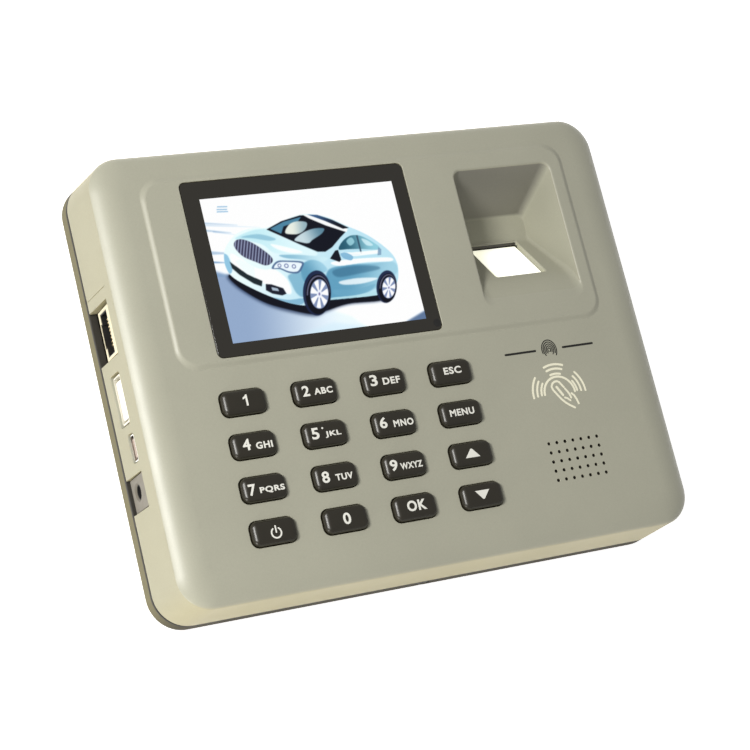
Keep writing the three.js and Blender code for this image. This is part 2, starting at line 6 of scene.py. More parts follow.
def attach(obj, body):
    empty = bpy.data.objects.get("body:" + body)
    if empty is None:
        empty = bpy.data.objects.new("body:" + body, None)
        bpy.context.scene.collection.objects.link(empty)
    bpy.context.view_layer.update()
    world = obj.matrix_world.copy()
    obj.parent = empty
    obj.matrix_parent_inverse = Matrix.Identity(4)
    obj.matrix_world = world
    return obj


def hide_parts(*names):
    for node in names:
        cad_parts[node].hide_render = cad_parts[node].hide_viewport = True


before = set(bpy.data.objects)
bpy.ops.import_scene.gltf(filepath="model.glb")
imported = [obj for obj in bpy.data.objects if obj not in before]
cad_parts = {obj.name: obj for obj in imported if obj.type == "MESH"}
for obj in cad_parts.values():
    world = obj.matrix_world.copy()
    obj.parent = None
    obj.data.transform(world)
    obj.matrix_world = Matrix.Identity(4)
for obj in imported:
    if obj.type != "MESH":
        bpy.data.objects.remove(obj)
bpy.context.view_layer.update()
MM = 0.001
scene = bpy.context.scene

# ------------------------------------------------------------------ camera
CAM_POS = Vector((-263.57, -126.30, 530.84)) * MM
CAM_AXES = (Vector((0.88957, -0.23593, 0.39115)), Vector((0.12568, 0.94966, 0.28698)), Vector((-0.43916, -0.20612, 0.87444)))
cam_data = bpy.data.cameras.new("camera")
cam_data.lens = 101.598
cam_data.sensor_width = 36.0
cam_data.sensor_fit = "HORIZONTAL"
cam_data.clip_start, cam_data.clip_end = 0.01, 20.0
cam = bpy.data.objects.new("camera", cam_data)
scene.collection.objects.link(cam)
cam.matrix_world = Matrix(((CAM_AXES[0].x, CAM_AXES[1].x, CAM_AXES[2].x, CAM_POS.x),
                           (CAM_AXES[0].y, CAM_AXES[1].y, CAM_AXES[2].y, CAM_POS.y),
                           (CAM_AXES[0].z, CAM_AXES[1].z, CAM_AXES[2].z, CAM_POS.z), (0, 0, 0, 1)))
scene.camera = cam

# ------------------------------------------------------------------ dimensions (mm), as in the CAD model
CASE_W, CASE_H, CORNER_R, DRAFT = 157.0, 124.0, 9.3, 0.048
Z_SEAM, SEAM_GAP, Z_SHOULDER, Z_FACE, Z_PLATEAU = 5.5, 0.45, 23.9, 26.8, 27.4
WALL, Z_CEIL, GAP = 2.2, 24.5, 0.3
LENS = dict(x0=-54.27, x1=13.31, y0=2.73, y1=52.33, r=1.6, z0=26.2, z1=27.35)
ACTIVE = dict(x0=-49.35, x1=8.95, y0=6.28, y1=47.24)
PLATEAU = dict(x0=-66.1, x1=66.1, y0=0.2, y1=54.6, r=6.0)
KEY = dict(x=-50.24, y=-9.93, px=20.79, py=11.787, w=12.7, h=6.75, r=2.0, top=28.6)
KEY_NAMES = (("key_1", "key_2", "key_3", "key_esc"), ("key_4", "key_5", "key_6", "key_menu"),
             ("key_7", "key_8", "key_9", "key_up"), ("key_power", "key_0", "key_ok", "key_down"))
WIN = dict(cx=45.2, cy=22.85, cz=16.0, w=16.3, l=17.9)
U, N = (-0.743, 0.670), (0.670, 0.743)
GRILLE = dict(x=45.15, y=-39.37, px=2.64, py=2.65, nx=7, ny=5, r=0.47)
JACK_X = -78.6

# ------------------------------------------------------------------ mesh helpers
def make(name, verts, faces, smooth=True):
    me = bpy.data.meshes.new(name)
    me.from_pydata([(v[0] * MM, v[1] * MM, v[2] * MM) for v in verts], [], faces)
    me.validate()
    me.update()
    ob = bpy.data.objects.new(name, me)
    scene.collection.objects.link(ob)
    if smooth:
        me.polygons.foreach_set("use_smooth", [True] * len(me.polygons))
    return ob

def rr(x0, x1, y0, y1, r, seg=8):
    r = max(1e-3, min(r, (x1 - x0) / 2 - 1e-3, (y1 - y0) / 2 - 1e-3))
    out = []
    for cx, cy, a0 in ((x1 - r, y1 - r, 0), (x0 + r, y1 - r, 90), (x0 + r, y0 + r, 180), (x1 - r, y0 + r, 270)):
        for k in range(seg + 1):
            a = math.radians(a0 + 90 * k / seg)
            out.append((cx + r * math.cos(a), cy + r * math.sin(a)))
    return out

def loft_vf(rings):
    """rings bottom to top, each a list of 3-D points of one length, closed at both ends"""
    n = len(rings[0])
    v = [p for r in rings for p in r]
    f = []
    for k in range(len(rings) - 1):
        a = k * n
        for i in range(n):
            j = (i + 1) % n
            f.append((a + i, a + j, a + n + j, a + n + i))
    f.append(tuple(reversed(range(n))))
    m = (len(rings) - 1) * n
    f.append(tuple(range(m, m + n)))
    return v, f

def at_z(pts, z):
    return [(p[0], p[1], z) for p in pts]

def loft(name, rings, smooth=True):
    return make(name, *loft_vf(rings), smooth=smooth)

class Parts:
    """several closed solids gathered in one mesh"""
    def __init__(self):
        self.v, self.f = [], []
    def add(self, v, f):
        o = len(self.v)
        self.v += list(v)
        self.f += [tuple(i + o for i in q) for q in f]
        return self
    def loft(self, rings):
        return self.add(*loft_vf(rings))
    def box(self, x0, x1, y0, y1, z0, z1):
        return self.loft([[(x0, y0, z0), (x1, y0, z0), (x1, y1, z0), (x0, y1, z0)], [(x0, y0, z1), (x1, y0, z1), (x1, y1, z1), (x0, y1, z1)]])
    def cyl(self, x, y, z0, z1, r, seg=24, prof=None):
        prof = prof or [(r, z0), (r, z1)]
        return self.loft([[(x + q * math.cos(2 * math.pi * k / seg), y + q * math.sin(2 * math.pi * k / seg), z) for k in range(seg)] for q, z in prof])
    def loft_x(self, yz_rings):
        """rings along +X: each (x, [(y, z)...]) with (y, z) counter-clockwise"""
        return self.loft([[(x, p[0], p[1]) for p in pts] for x, pts in yz_rings])
    def build(self, name, smooth=True):
        return make(name, self.v, self.f, smooth)

def boolean(ob, cutter, op):
    m = ob.modifiers.new("b", "BOOLEAN")
    m.object, m.operation, m.solver = cutter, op, "EXACT"
    dg = bpy.context.evaluated_depsgraph_get()
    me = bpy.data.meshes.new_from_object(ob.evaluated_get(dg))
    ob.modifiers.clear()
    old = ob.data
    ob.data = me
    bpy.data.meshes.remove(old)
    bpy.data.objects.remove(cutter, do_unlink=True)
    if len(me.polygons) < 6:
        raise RuntimeError("boolean left nothing of " + ob.name)
    return ob

def finish_shape(ob, angle=32.0, weighted=True):
    me = ob.data
    bm = bmesh.new()
    bm.from_mesh(me)
    bmesh.ops.remove_doubles(bm, verts=bm.verts, dist=2e-6)
    bmesh.ops.dissolve_degenerate(bm, dist=1e-6, edges=bm.edges)
    bmesh.ops.recalc_face_normals(bm, faces=bm.faces)
    bm.to_mesh(me)
    bm.free()
    me.polygons.foreach_set("use_smooth", [True] * len(me.polygons))
    me.set_sharp_from_angle(angle=math.radians(angle))
    if weighted:
        w = ob.modifiers.new("wn", "WEIGHTED_NORMAL")
        w.keep_sharp, w.weight, w.mode = True, 80, "FACE_AREA"
    return ob

def apply_mods(ob):
    dg = bpy.context.evaluated_depsgraph_get()
    me = bpy.data.meshes.new_from_object(ob.evaluated_get(dg))
    ob.modifiers.clear()
    ob.data = me
    return ob

def case_ring(z, inset, seg=14):
    g = DRAFT * (Z_SHOULDER - min(z, Z_SHOULDER))
    w, h = CASE_W / 2 + g - inset, CASE_H / 2 + g - inset
    return at_z(rr(-w, w, -h, h, max(1.2, CORNER_R + 0.3 * g - 0.75 * inset), seg), z)

# ------------------------------------------------------------------ materials
def lin(r, g, b):
    def c(v):
        v /= 255.0
        return v / 12.92 if v <= 0.04045 else ((v + 0.055) / 1.055) ** 2.4
    return (c(r), c(g), c(b), 1.0)

class Mat:
    def __init__(self, name, base=(0.5, 0.5, 0.5, 1), rough=0.5, metal=0.0, **kw):
        self.m = bpy.data.materials.new(name)
        self.m.use_nodes = True
        self.t = self.m.node_tree
        self.n, self.l = self.t.nodes, self.t.links
        self.b = self.n["Principled BSDF"]
        self.set("Base Color", base)
        self.set("Roughness", rough)
        self.set("Metallic", metal)
        for k, v in kw.items():
            self.set(k.replace("_", " "), v)
        self.co = None
    def set(self, k, v):
        self.b.inputs[k].default_value = v
    def node(self, kind, **kw):
        n = self.n.new(kind)
        for k, v in kw.items():
            setattr(n, k, v)
        return n
    def coord(self):
        if self.co is None:
            self.co = self.node("ShaderNodeTexCoord").outputs["Object"]
        return self.co
    def noise(self, scale, detail=3.0, rough=0.5, dist=0.0, vec=None):
        n = self.node("ShaderNodeTexNoise")
        n.inputs["Scale"].default_value = scale
        n.inputs["Detail"].default_value = detail
        n.inputs["Roughness"].default_value = rough
        n.inputs["Distortion"].default_value = dist
        self.l.new(vec or self.coord(), n.inputs["Vector"])
        return n.outputs["Fac"]
    def ramp(self, fac, stops):
        n = self.node("ShaderNodeValToRGB")
        e = n.color_ramp.elements
        while len(e) < len(stops):
            e.new(0.5)
        for i, (p, c) in enumerate(stops):
            e[i].position = p
            e[i].color = c if isinstance(c, tuple) else (c, c, c, 1)
        self.l.new(fac, n.inputs["Fac"])
        return n.outputs["Color"]
    def mix(self, a, b, fac):
        n = self.node("ShaderNodeMix", data_type="RGBA")
        for s, v in (("A", a), ("B", b)):
            i = next(q for q in n.inputs if q.name == s and q.type == "RGBA")
            if isinstance(v, tuple):
                i.default_value = v
            else:
                self.l.new(v, i)
        if isinstance(fac, float):
            n.inputs["Factor"].default_value = fac
        else:
            self.l.new(fac, n.inputs["Factor"])
        return next(q for q in n.outputs if q.type == "RGBA")
    def maprange(self, v, a, b, c, d):
        n = self.node("ShaderNodeMapRange")
        for k, q in zip(("From Min", "From Max", "To Min", "To Max"), (a, b, c, d)):
            n.inputs[k].default_value = q
        self.l.new(v, n.inputs["Value"])
        return n.outputs["Result"]
    def math(self, op, a, b=None):
        n = self.node("ShaderNodeMath", operation=op)
        for i, v in enumerate((a, b)):
            if v is None:
                continue
            if isinstance(v, (int, float)):
                n.inputs[i].default_value = v
            else:
                self.l.new(v, n.inputs[i])
        return n.outputs[0]
    def to(self, out, sock):
        self.l.new(out, self.b.inputs[sock])
        return self
    def bump(self, height, strength=0.1, dist=0.0001, under=None):
        n = self.node("ShaderNodeBump")
        n.inputs["Strength"].default_value = strength
        n.inputs["Distance"].default_value = dist
        self.l.new(height, n.inputs["Height"])
        if under is not None:
            self.l.new(under, n.inputs["Normal"])
        return n.outputs["Normal"]

def paint(name, face, x_wall_painted_shading, y_wall_painted_shading, rough, grain, coat=0.0, dirt=0.04, coat_rough=0.18, level=0.5, well=False):
    """satin paint on moulded plastic, with painted light and shade: the walls take their own lit or shaded tones by the
    way they face, faint mottling, fine orange peel
    """
    m = Mat(name, rough=rough)
    g = m.node("ShaderNodeNewGeometry").outputs["Normal"]
    s = m.node("ShaderNodeSeparateXYZ")
    m.l.new(g, s.inputs[0])
    up = m.maprange(s.outputs["Z"], 0.25, 0.85, 0.0, 1.0)
    y_facing_shading_mix = m.math("MULTIPLY", s.outputs["Y"], s.outputs["Y"])
    top = face
    if well:
        # inside the finger well the whole surface wears the face colour, with painted shade darkening the wall that
        # looks forward
        p = m.node("ShaderNodeSeparateXYZ")
        m.l.new(m.coord(), p.inputs[0])
        ax = m.math("LESS_THAN", m.math("ABSOLUTE", m.math("SUBTRACT", p.outputs["X"], 0.045)), 0.0165)
        ay = m.math("LESS_THAN", m.math("ABSOLUTE", m.math("SUBTRACT", p.outputs["Y"], 0.027)), 0.0222)
        az = m.math("LESS_THAN", p.outputs["Z"], 0.0269)
        inw = m.math("MULTIPLY", m.math("MULTIPLY", ax, ay), az)
        up = m.math("MAXIMUM", up, inw)
        # painted shade: the well wall facing -Y becomes a darker copy of the face colour
        well_back_wall_painted_shade = m.math("MULTIPLY", inw, m.maprange(s.outputs["Y"], -0.85, -0.3, 1.0, 0.0))
        top = m.mix(face, tuple(c * k for c, k in zip(face[:3], (0.66, 0.65, 0.70))) + (1,), well_back_wall_painted_shade)
    # painted light and shade: walls facing X take one tone and walls facing Y another, standing in for how the lamps
    # and the floor light them; faces turned up take the face colour
    base = m.mix(m.mix(x_wall_painted_shading, y_wall_painted_shading, y_facing_shading_mix), top, up)
    mott = m.maprange(m.noise(22.0, 3.0, 0.55), 0.3, 0.7, 1.0 - dirt, 1.0 + dirt)
    fine = m.maprange(m.noise(2600.0, 2.0, 0.6), 0.25, 0.75, 0.965, 1.035)
    k = m.math("MULTIPLY", mott, fine)
    v = m.node("ShaderNodeVectorMath", operation="MULTIPLY")
    m.l.new(base, v.inputs[0])
    c = m.node("ShaderNodeCombineXYZ")
    for i in range(3):
        m.l.new(k, c.inputs[i])
    m.l.new(c.outputs[0], v.inputs[1])
    m.to(v.outputs[0], "Base Color")
    m.to(m.maprange(m.noise(60.0, 4.0, 0.6), 0.3, 0.7, rough - 0.035, rough + 0.045), "Roughness")
    n1 = m.bump(m.noise(1500.0, 2.0, 0.5), 0.10 * grain, 0.00006)
    n2 = m.bump(m.noise(240.0, 2.0, 0.5), 0.05 * grain, 0.0002, n1)
    m.to(n2, "Normal")
    gloss = m.maprange(s.outputs["Z"], 0.18, 0.62, 0.0, 1.0)
    if well:
        gloss = m.math("MULTIPLY", gloss, m.maprange(inw, 0.0, 1.0, 1.0, 0.12))
    m.to(m.math("MULTIPLY", gloss, coat), "Coat Weight")
    m.to(m.maprange(gloss, 0.0, 1.0, 0.05, level), "Specular IOR Level")
    m.set("Coat Roughness", coat_rough)
    return m.m

M = {}
# the second and third colours of each paint are painted light and shade for the walls facing X and the walls facing Y
M["front"] = paint("paint_front", (0.392, 0.386, 0.304, 1), (0.312, 0.296, 0.214, 1), (0.42, 0.378, 0.232, 1), 0.405, 1.0, coat=0.32, coat_rough=0.38, level=0.42, well=True)
M["rear"] = paint("plastic_rear", (0.20, 0.185, 0.125, 1), (0.155, 0.140, 0.084, 1), (0.062, 0.054, 0.036, 1), 0.6, 2.2, coat=0.0)

def plain(name, rgb, rough, metal=0.0, scale=900.0, var=0.06, bump=0.06, dist=0.00005, rvar=0.05, **kw):
    """a moulded, rubbed or plated surface with fine grain, faint colour variation and uneven gloss"""
    m = Mat(name, rough=rough, metal=metal, **kw)
    a = tuple(max(0.0, c * (1 - var)) for c in rgb[:3]) + (1,)
    b = tuple(min(1.0, c * (1 + var)) for c in rgb[:3]) + (1,)
    m.to(m.mix(a, b, m.maprange(m.noise(scale * 0.08, 4.0, 0.6), 0.3, 0.7, 0, 1)), "Base Color")
    m.to(m.maprange(m.noise(scale * 0.2, 3.0, 0.6), 0.3, 0.7, max(0.02, rough - rvar), rough + rvar), "Roughness")
    m.to(m.bump(m.noise(scale, 2.0, 0.5), bump, dist), "Normal")
    return m.m

M["key"] = plain("key_plastic", lin(36, 32, 21), 0.38, scale=1400, var=0.1, bump=0.03, rvar=0.03, Coat_Weight=0.22, Coat_Roughness=0.3)
M["legend"] = plain("legend_white", lin(232, 231, 222), 0.45, scale=2000, var=0.02)
M["lens_black"] = plain("lens_black", lin(36, 33, 26), 0.12, scale=700, var=0.05, bump=0.004, rvar=0.02, Coat_Weight=0.4, Coat_Roughness=0.04)
M["cream_print"] = plain("cream_print", lin(243, 239, 214), 0.5, scale=2000, var=0.03)
M["black_print"] = plain("black_print", lin(24, 23, 20), 0.42, scale=2000, var=0.05)
M["steel"] = plain("steel_plate", (0.52, 0.53, 0.53), 0.36, 1.0, scale=500, var=0.08, bump=0.08, rvar=0.08)
M["zinc"] = plain("zinc_screw", (0.55, 0.56, 0.57), 0.27, 1.0, scale=900, var=0.08, bump=0.05)
M["dark_screw"] = plain("blackened_screw", (0.055, 0.05, 0.042), 0.45, 0.5, scale=900, var=0.08, bump=0.05)
M["nickel"] = plain("nickel_shell", (0.80, 0.80, 0.78), 0.2, 1.0, scale=800, var=0.04, bump=0.02)
M["gold"] = plain("gold_contact", (0.83, 0.62, 0.24), 0.22, 1.0, scale=900, var=0.04, bump=0.02)
M["usb"] = plain("usb_shield", (0.70, 0.67, 0.57), 0.42, 0.3, scale=800, var=0.04, bump=0.03)
M["tongue"] = plain("micro_tongue", lin(150, 132, 118), 0.5, scale=1200, var=0.05)
M["jack"] = plain("jack_shield", (0.58, 0.52, 0.36), 0.42, 0.35, scale=800, var=0.06, bump=0.04)
M["black"] = plain("black_plastic", lin(26, 25, 25), 0.5, scale=1500, var=0.12, bump=0.08)
M["dcbody"] = plain("dc_body", lin(100, 94, 82), 0.5, scale=1500, var=0.06, bump=0.06)
M["white"] = plain("white_plastic", lin(244, 243, 238), 0.32, scale=1500, var=0.02, bump=0.03)
# dark unpainted plastic for the inner faces, also used as painted shade along the seam, in the grille holes and in the
# openings
M["inside"] = plain("unpainted_plastic_and_painted_shade", lin(52, 49, 44), 0.55, scale=1200, var=0.1, bump=0.08)
M["foam"] = plain("foam", lin(20, 20, 20), 0.9, scale=2500, var=0.2, bump=0.3)
M["pcb"] = plain("solder_mask", lin(22, 84, 48), 0.35, scale=700, var=0.12, bump=0.05)
M["tin"] = plain("tin_sheet", (0.62, 0.63, 0.64), 0.3, 1.0, scale=700, var=0.06, bump=0.03)
M["ribbon"] = plain("ribbon", lin(214, 205, 180), 0.5, scale=1200, var=0.05)
M["rubber"] = plain("mat_rubber", lin(120, 122, 119), 0.8, scale=1800, var=0.05, bump=0.15)
M["magnet"] = plain("magnet", (0.18, 0.18, 0.19), 0.45, 0.6, scale=900, var=0.1)
M["red"] = plain("lead_red", lin(168, 38, 28), 0.5, scale=1200, var=0.05)
M["cone"] = plain("cone_paper", lin(30, 30, 30), 0.85, scale=2600, var=0.2, bump=0.4)
M["diffuser"] = plain("diffuser", lin(236, 238, 236), 0.6, scale=900, var=0.02)
M["lcd"] = plain("lcd_panel", lin(150, 195, 215), 0.2, scale=900, var=0.03)

def dress(ob, mat):
    ob.data.materials.clear()
    ob.data.materials.append(M[mat] if isinstance(mat, str) else mat)
    return ob

def ride(ob, body="root", rep=()):
    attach(ob, body)
    if rep:
        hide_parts(*rep)
    return ob

def case_depth(x, y, z):
    """how far a point lies inside the outer skin of the case, in mm"""
    g = DRAFT * (Z_SHOULDER - min(z, Z_SHOULDER))
    r = CORNER_R + 0.3 * g
    qx, qy = abs(x) - (CASE_W / 2 + g - r), abs(y) - (CASE_H / 2 + g - r)
    return r - (math.hypot(max(qx, 0.0), max(qy, 0.0)) + min(max(qx, qy), 0.0))

def unpainted_and_shade_faces(ob, test):
    """a second material, dark unpainted plastic, on the faces the paint doesn't reach; the same dark also stands as
    painted shade along the seam, in the grille holes and in the openings
    """
    me = ob.data
    me.materials.append(M["inside"])
    for p in me.polygons:
        c = p.center / MM
        if test(c.x, c.y, c.z, p.normal):
            p.material_index = 1

# ------------------------------------------------------------------ front cover
def bez(p0, p1, p2, p3, n):
    out = []
    for k in range(n + 1):
        t = k / n
        a, b, c, d = (1 - t) ** 3, 3 * t * (1 - t) ** 2, 3 * t * t * (1 - t), t ** 3
        out.append((a * p0[0] + b * p1[0] + c * p2[0] + d * p3[0], a * p0[1] + b * p1[1] + c * p2[1] + d * p3[1]))
    return out

z0 = Z_SEAM + SEAM_GAP
rings = [case_ring(z0, 0.45), case_ring(z0 + 0.12, 0.16), case_ring(z0 + 0.4, 0.0), case_ring(12.0, 0.0), case_ring(18.0, 0.0), case_ring(Z_SHOULDER - 1.2, 0.0), case_ring(Z_SHOULDER, 0.0)]
# crisper at the two ends than along the two long sides
ends = [(0.0, 0.12), (0.03, 0.25)] + bez((0.09, 0.36), (1.15, 1.19), (3.5, 2.9), (8.8, 2.9), 20)
longs = bez((0.0, 0.02), (0.0, 1.5), (2.6, 2.9), (8.8, 2.9), 22)
for (ia, ha), (ib, hb) in zip(ends, longs):
    ring = []
    for k, (p, q) in enumerate(zip(case_ring(Z_SHOULDER, ia), case_ring(Z_SHOULDER, ib))):
        w = math.sin(math.radians(90 * (k // 15) + 90 * (k % 15) / 14)) ** 2
        ring.append((p[0] * (1 - w) + q[0] * w, p[1] * (1 - w) + q[1] * w, Z_SHOULDER + ha * (1 - w) + hb * w))
    rings.append(ring)
front = loft("front_cover_shell", rings)

# raised panel round the display and the finger well, with a soft edge
pl = []
for k in range(11):
    t = k / 10
    s = t * t * (3 - 2 * t)
    i = 1.7 * t
    pl.append(at_z(rr(PLATEAU["x0"] + i, PLATEAU["x1"] - i, PLATEAU["y0"] + i, PLATEAU["y1"] - i, PLATEAU["r"] - 0.5 * i, 12), Z_FACE - 0.012 + (Z_PLATEAU - Z_FACE + 0.012) * s))
pl.insert(0, at_z([(p[0], p[1]) for p in pl[0]], Z_FACE - 0.6))
front = boolean(front, loft("pl", pl), "UNION")
front = boolean(front, loft("cav", [case_ring(-1, WALL, 6), case_ring(21.2, WALL, 6), case_ring(23.1, WALL + 2.2, 6), case_ring(Z_CEIL, WALL + 6.2, 6)]), "DIFFERENCE")

# the finger well: horizontal sections of the hollow, from its floor up to the rim
def ramp_y(z):
    if z < 11.57:
        return 32.4 - 4.17 * math.sin(math.acos(max(-1.0, min(1.0, (14.67 - z) / 4.17))))
    if z <= 23.14:
        return 23.69 - (z - 16.93) * 1.10896
    return max(6.7, 5.75 + 16.5 * math.sin(math.acos(min(1.0, (z - 10.9) / 16.5))))
def back_y(z):
    if z < 11.09:
        return 38.14 + 1.2 * math.sin(math.acos(max(-1.0, min(1.0, (11.7 - z) / 1.2))))
    return 39.176 + (z - 11.09) * (48.7 - 39.176) / (Z_PLATEAU - 11.09)
def well_x(z):
    return 29.0 + 0.18 * (Z_PLATEAU - z), 61.0 - 0.18 * (Z_PLATEAU - z)
def rr4(x0, x1, y0, y1, rb, rf, seg):
    """a rectangle whose back corners have radius rb and whose front corners have radius rf"""
    out = []
    for cx, cy, a0, r in ((x1 - rb, y1 - rb, 0, rb), (x0 + rb, y1 - rb, 90, rb), (x0 + rf, y0 + rf, 180, rf), (x1 - rf, y0 + rf, 270, rf)):
        for k in range(seg + 1):
            a = math.radians(a0 + 90 * k / seg)
            out.append((cx + r * math.cos(a), cy + r * math.sin(a)))
    return out
levels = [10.5, 10.52, 10.58, 10.68, 10.82, 11.0, 11.25, 11.57, 12.2, 13.2, 14.6, 16, 17.5, 19, 20.5, 22, 23.14]
levels += [10.9 + 16.5 * math.cos(math.radians(a)) for a in (39, 36, 33, 30, 27, 24, 21, 18, 15, 12, 9, 6, 0)]
def well_rings(grow=0.0, seg=7):
    out = []
    for z in levels:
        x0, x1 = well_x(z)
        f = 0.0
        if z > 26.8 and grow == 0.0:
            f = 0.6 - math.sqrt(max(0.0, 0.36 - (z - 26.8) ** 2))
        rb, rf = 2.0 + 0.6 * (z - 10.5) / 16.9 + f, 1.3 + 1.6 * ((z - 10.5) / 16.9) ** 3 + f
        y0, y1 = ramp_y(z), back_y(z)
        if grow:
            out.append(at_z(rr(x0 - grow, x1 + grow, y0 - 1.5 * grow, y1 + 1.2 * grow, 2.5 + grow * 0.5, seg), z))
        else:
            out.append(at_z(rr4(x0 - f, x1 + f, y0 - 0.15 * f, y1 + f, rb, rf, seg), z))
    return out
wr = [r for r in well_rings(2.0, 4) if r[0][2] < 26.2]
wr = [at_z(rr(31.5, 58.5, 30.2, 38.4, 2.0, 4), 8.5)] + wr
front = boolean(front, loft("ws", wr), "UNION")
wv = well_rings()
wv.append(at_z([(p[0], p[1]) for p in wv[-1]], 31.0))
front = boolean(front, loft("wv", wv), "DIFFERENCE")

# openings
cut = Parts()
def flare(x0, x1, y0, y1, r, zlow, zface, f, seg=8, ztop=31.0):
    g = [at_z(rr(x0, x1, y0, y1, r, seg), zlow)]
    for k in range(5):
        a = math.radians(90 * k / 4)
        o = f * (1 - math.cos(a))
        g.append(at_z(rr(x0 - o, x1 + o, y0 - o, y1 + o, r + o, seg), zface - f + f * math.sin(a)))
    g.append(at_z(rr(x0 - f, x1 + f, y0 - f, y1 + f, r + f, seg), ztop))
    return g
for j in range(4):
    for i in range(4):
        x, y = KEY["x"] + i * KEY["px"], KEY["y"] - j * KEY["py"]
        cut.loft(flare(x - KEY["w"] / 2 - 0.26, x + KEY["w"] / 2 + 0.26, y - KEY["h"] / 2 - 0.26, y + KEY["h"] / 2 + 0.26, KEY["r"] + 0.26, 23.0, Z_FACE, 0.2))
for j in range(GRILLE["ny"]):
    for i in range(GRILLE["nx"]):
        x, y, r = GRILLE["x"] + (i - 3) * GRILLE["px"], GRILLE["y"] + (j - 2) * GRILLE["py"], GRILLE["r"]
        cut.cyl(x, y, 0, 0, 0, 16, [(r, 23.0), (r, 26.7), (r + 0.03, 26.77), (r + 0.07, 26.8), (r + 0.07, 29.0)])
cut.loft(flare(LENS["x0"] - 0.14, LENS["x1"] + 0.14, LENS["y0"] - 0.14, LENS["y1"] + 0.14, LENS["r"] + 0.14, 25.5, Z_PLATEAU, 0.2))
front = boolean(front, cut.build("cut"), "DIFFERENCE")
cut = Parts().box(ACTIVE["x0"] - 1.5, ACTIVE["x1"] + 1.5, ACTIVE["y0"] - 1.5, ACTIVE["y1"] + 1.5, 22, 26.0)
cut.box(-84, -72, 9.6, 25.0, 0, 19.8)
cut.box(-84, -72, -31.6, -21.9, 0, 17.8)
cut.loft_x([(-84, rr(-8.9, 5.6, 10.75, 17.55, 1.0, 5)), (-72, rr(-8.9, 5.6, 10.75, 17.55, 1.0, 5))])
cut.loft_x([(-84, rr(-19.35, -11.35, 13.75, 17.9, 1.2, 5)), (-72, rr(-19.35, -11.35, 13.75, 17.9, 1.2, 5))])
gx = lambda z: -(CASE_W / 2 + DRAFT * (Z_SHOULDER - z)) + 0.16
cut.add([(-84, 28.05, 6.6), (gx(6.6), 28.05, 6.6), (gx(6.6), 28.30, 6.6), (-84, 28.30, 6.6), (-84, 28.05, 20.2), (gx(20.2), 28.05, 20.2), (gx(20.2), 28.30, 20.2), (-84, 28.30, 20.2)],
        [(0, 3, 2, 1), (4, 5, 6, 7), (0, 1, 5, 4), (1, 2, 6, 5), (2, 3, 7, 6), (3, 0, 4, 7)])
front = boolean(front, cut.build("cut"), "DIFFERENCE")
# window opening on the ramp, with a rounded edge
def tilt(p):
    return (WIN["cx"] - p[0], WIN["cy"] + p[1] * U[0] + p[2] * N[0], WIN["cz"] + p[1] * U[1] + p[2] * N[1])
w, l = WIN["w"] / 2 + 0.24, WIN["l"] / 2 + 0.24
wc = [[tilt(p) for p in at_z(rr(-w, w, -l, l, 0.7, 4), -3.4)]]
for k in range(4):
    a = math.radians(90 * k / 3)
    o = 0.25 * (1 - math.cos(a))
    wc.append([tilt(p) for p in at_z(rr(-w - o, w + o, -l - o, l + o, 0.7 + o, 4), 1.0 + 0.25 * math.sin(a))])
wc.append([tilt(p) for p in at_z(rr(-w - 0.25, w + 0.25, -l - 0.25, l + 0.25, 0.95, 4), 3.0)])
front = boolean(front, loft("wc", wc), "DIFFERENCE")
finish_shape(front, 34)
dress(front, "front")
def inner_front(x, y, z, n):
    # grille hole walls take the dark material: painted shade inside the holes
    if abs(x - GRILLE["x"]) < 9.5 and abs(y - GRILLE["y"]) < 7.0 and z < 26.72:
        return True
    # the front cover's lower edge at the seam takes the dark material: a painted shade line along the joint
    if z < Z_SEAM + SEAM_GAP + 0.02 or (z < Z_SEAM + SEAM_GAP + 0.3 and n.z < -0.5):
        return True
    if 27 < x < 63 and 3 < y < 51 and z > 10.4 and n.z > 0.02 and back_y(min(z, Z_PLATEAU)) + 0.1 > y:
        return False
    if 27 < x < 63 and 3 < y < 51 and z > 10.4:
        a, b = well_x(min(z, Z_PLATEAU))
        if a - 0.1 < x < b + 0.1 and back_y(min(z, Z_PLATEAU)) + 0.1 > y > ramp_y(min(z, Z_PLATEAU)) - 3.4:
            return False
    # other inner faces: dark unpainted plastic, which also stands as painted shade seen through the key gaps and the
    # socket openings
    return case_depth(x, y, z) > 1.6 and z < Z_CEIL + 0.05
unpainted_and_shade_faces(front, inner_front)
ride(front, rep=("front_cover",))

# ------------------------------------------------------------------ rear cover
rear = loft("rear_cover_shell", [case_ring(0, 1.6), case_ring(0.1, 1.15), case_ring(0.35, 0.68), case_ring(0.75, 0.32), case_ring(1.3, 0.1), case_ring(2.0, 0.0),
                                 case_ring(Z_SEAM - 0.4, 0.0), case_ring(Z_SEAM - 0.12, 0.12), case_ring(Z_SEAM, 0.4)])
rear = boolean(rear, loft("c", [case_ring(2.0, WALL, 8), case_ring(9.0, WALL, 8)]), "DIFFERENCE")
add = loft("pan", [at_z(rr(-61, 61, -46, 46, 4, 5), 1.9), at_z(rr(-61, 61, -46, 46, 4, 5), 3.2)])
rear = boolean(rear, add, "UNION")
lip = loft("lip", [case_ring(1.9, WALL - 0.4, 10), case_ring(Z_SEAM - 0.6, WALL - 0.4, 10), case_ring(Z_SEAM - 0.59, WALL + 0.35, 10), case_ring(7.8, WALL + 0.35, 10)])
lip = boolean(lip, loft("li", [case_ring(1.0, WALL + 1.55, 10), case_ring(9.0, WALL + 1.55, 10)]), "DIFFERENCE")
k = Parts().box(-90, -65, -33.5, 27, 2.6, 12)
for sx in (-1, 1):
    for sy in (-1, 1):
        xs, ys = sorted((sx * 62, sx * 90)), sorted((sy * 46, sy * 70))
        k.box(xs[0], xs[1], ys[0], ys[1], 4.9, 12)
lip = boolean(lip, k.build("k"), "DIFFERENCE")
rear = boolean(rear, lip, "UNION")
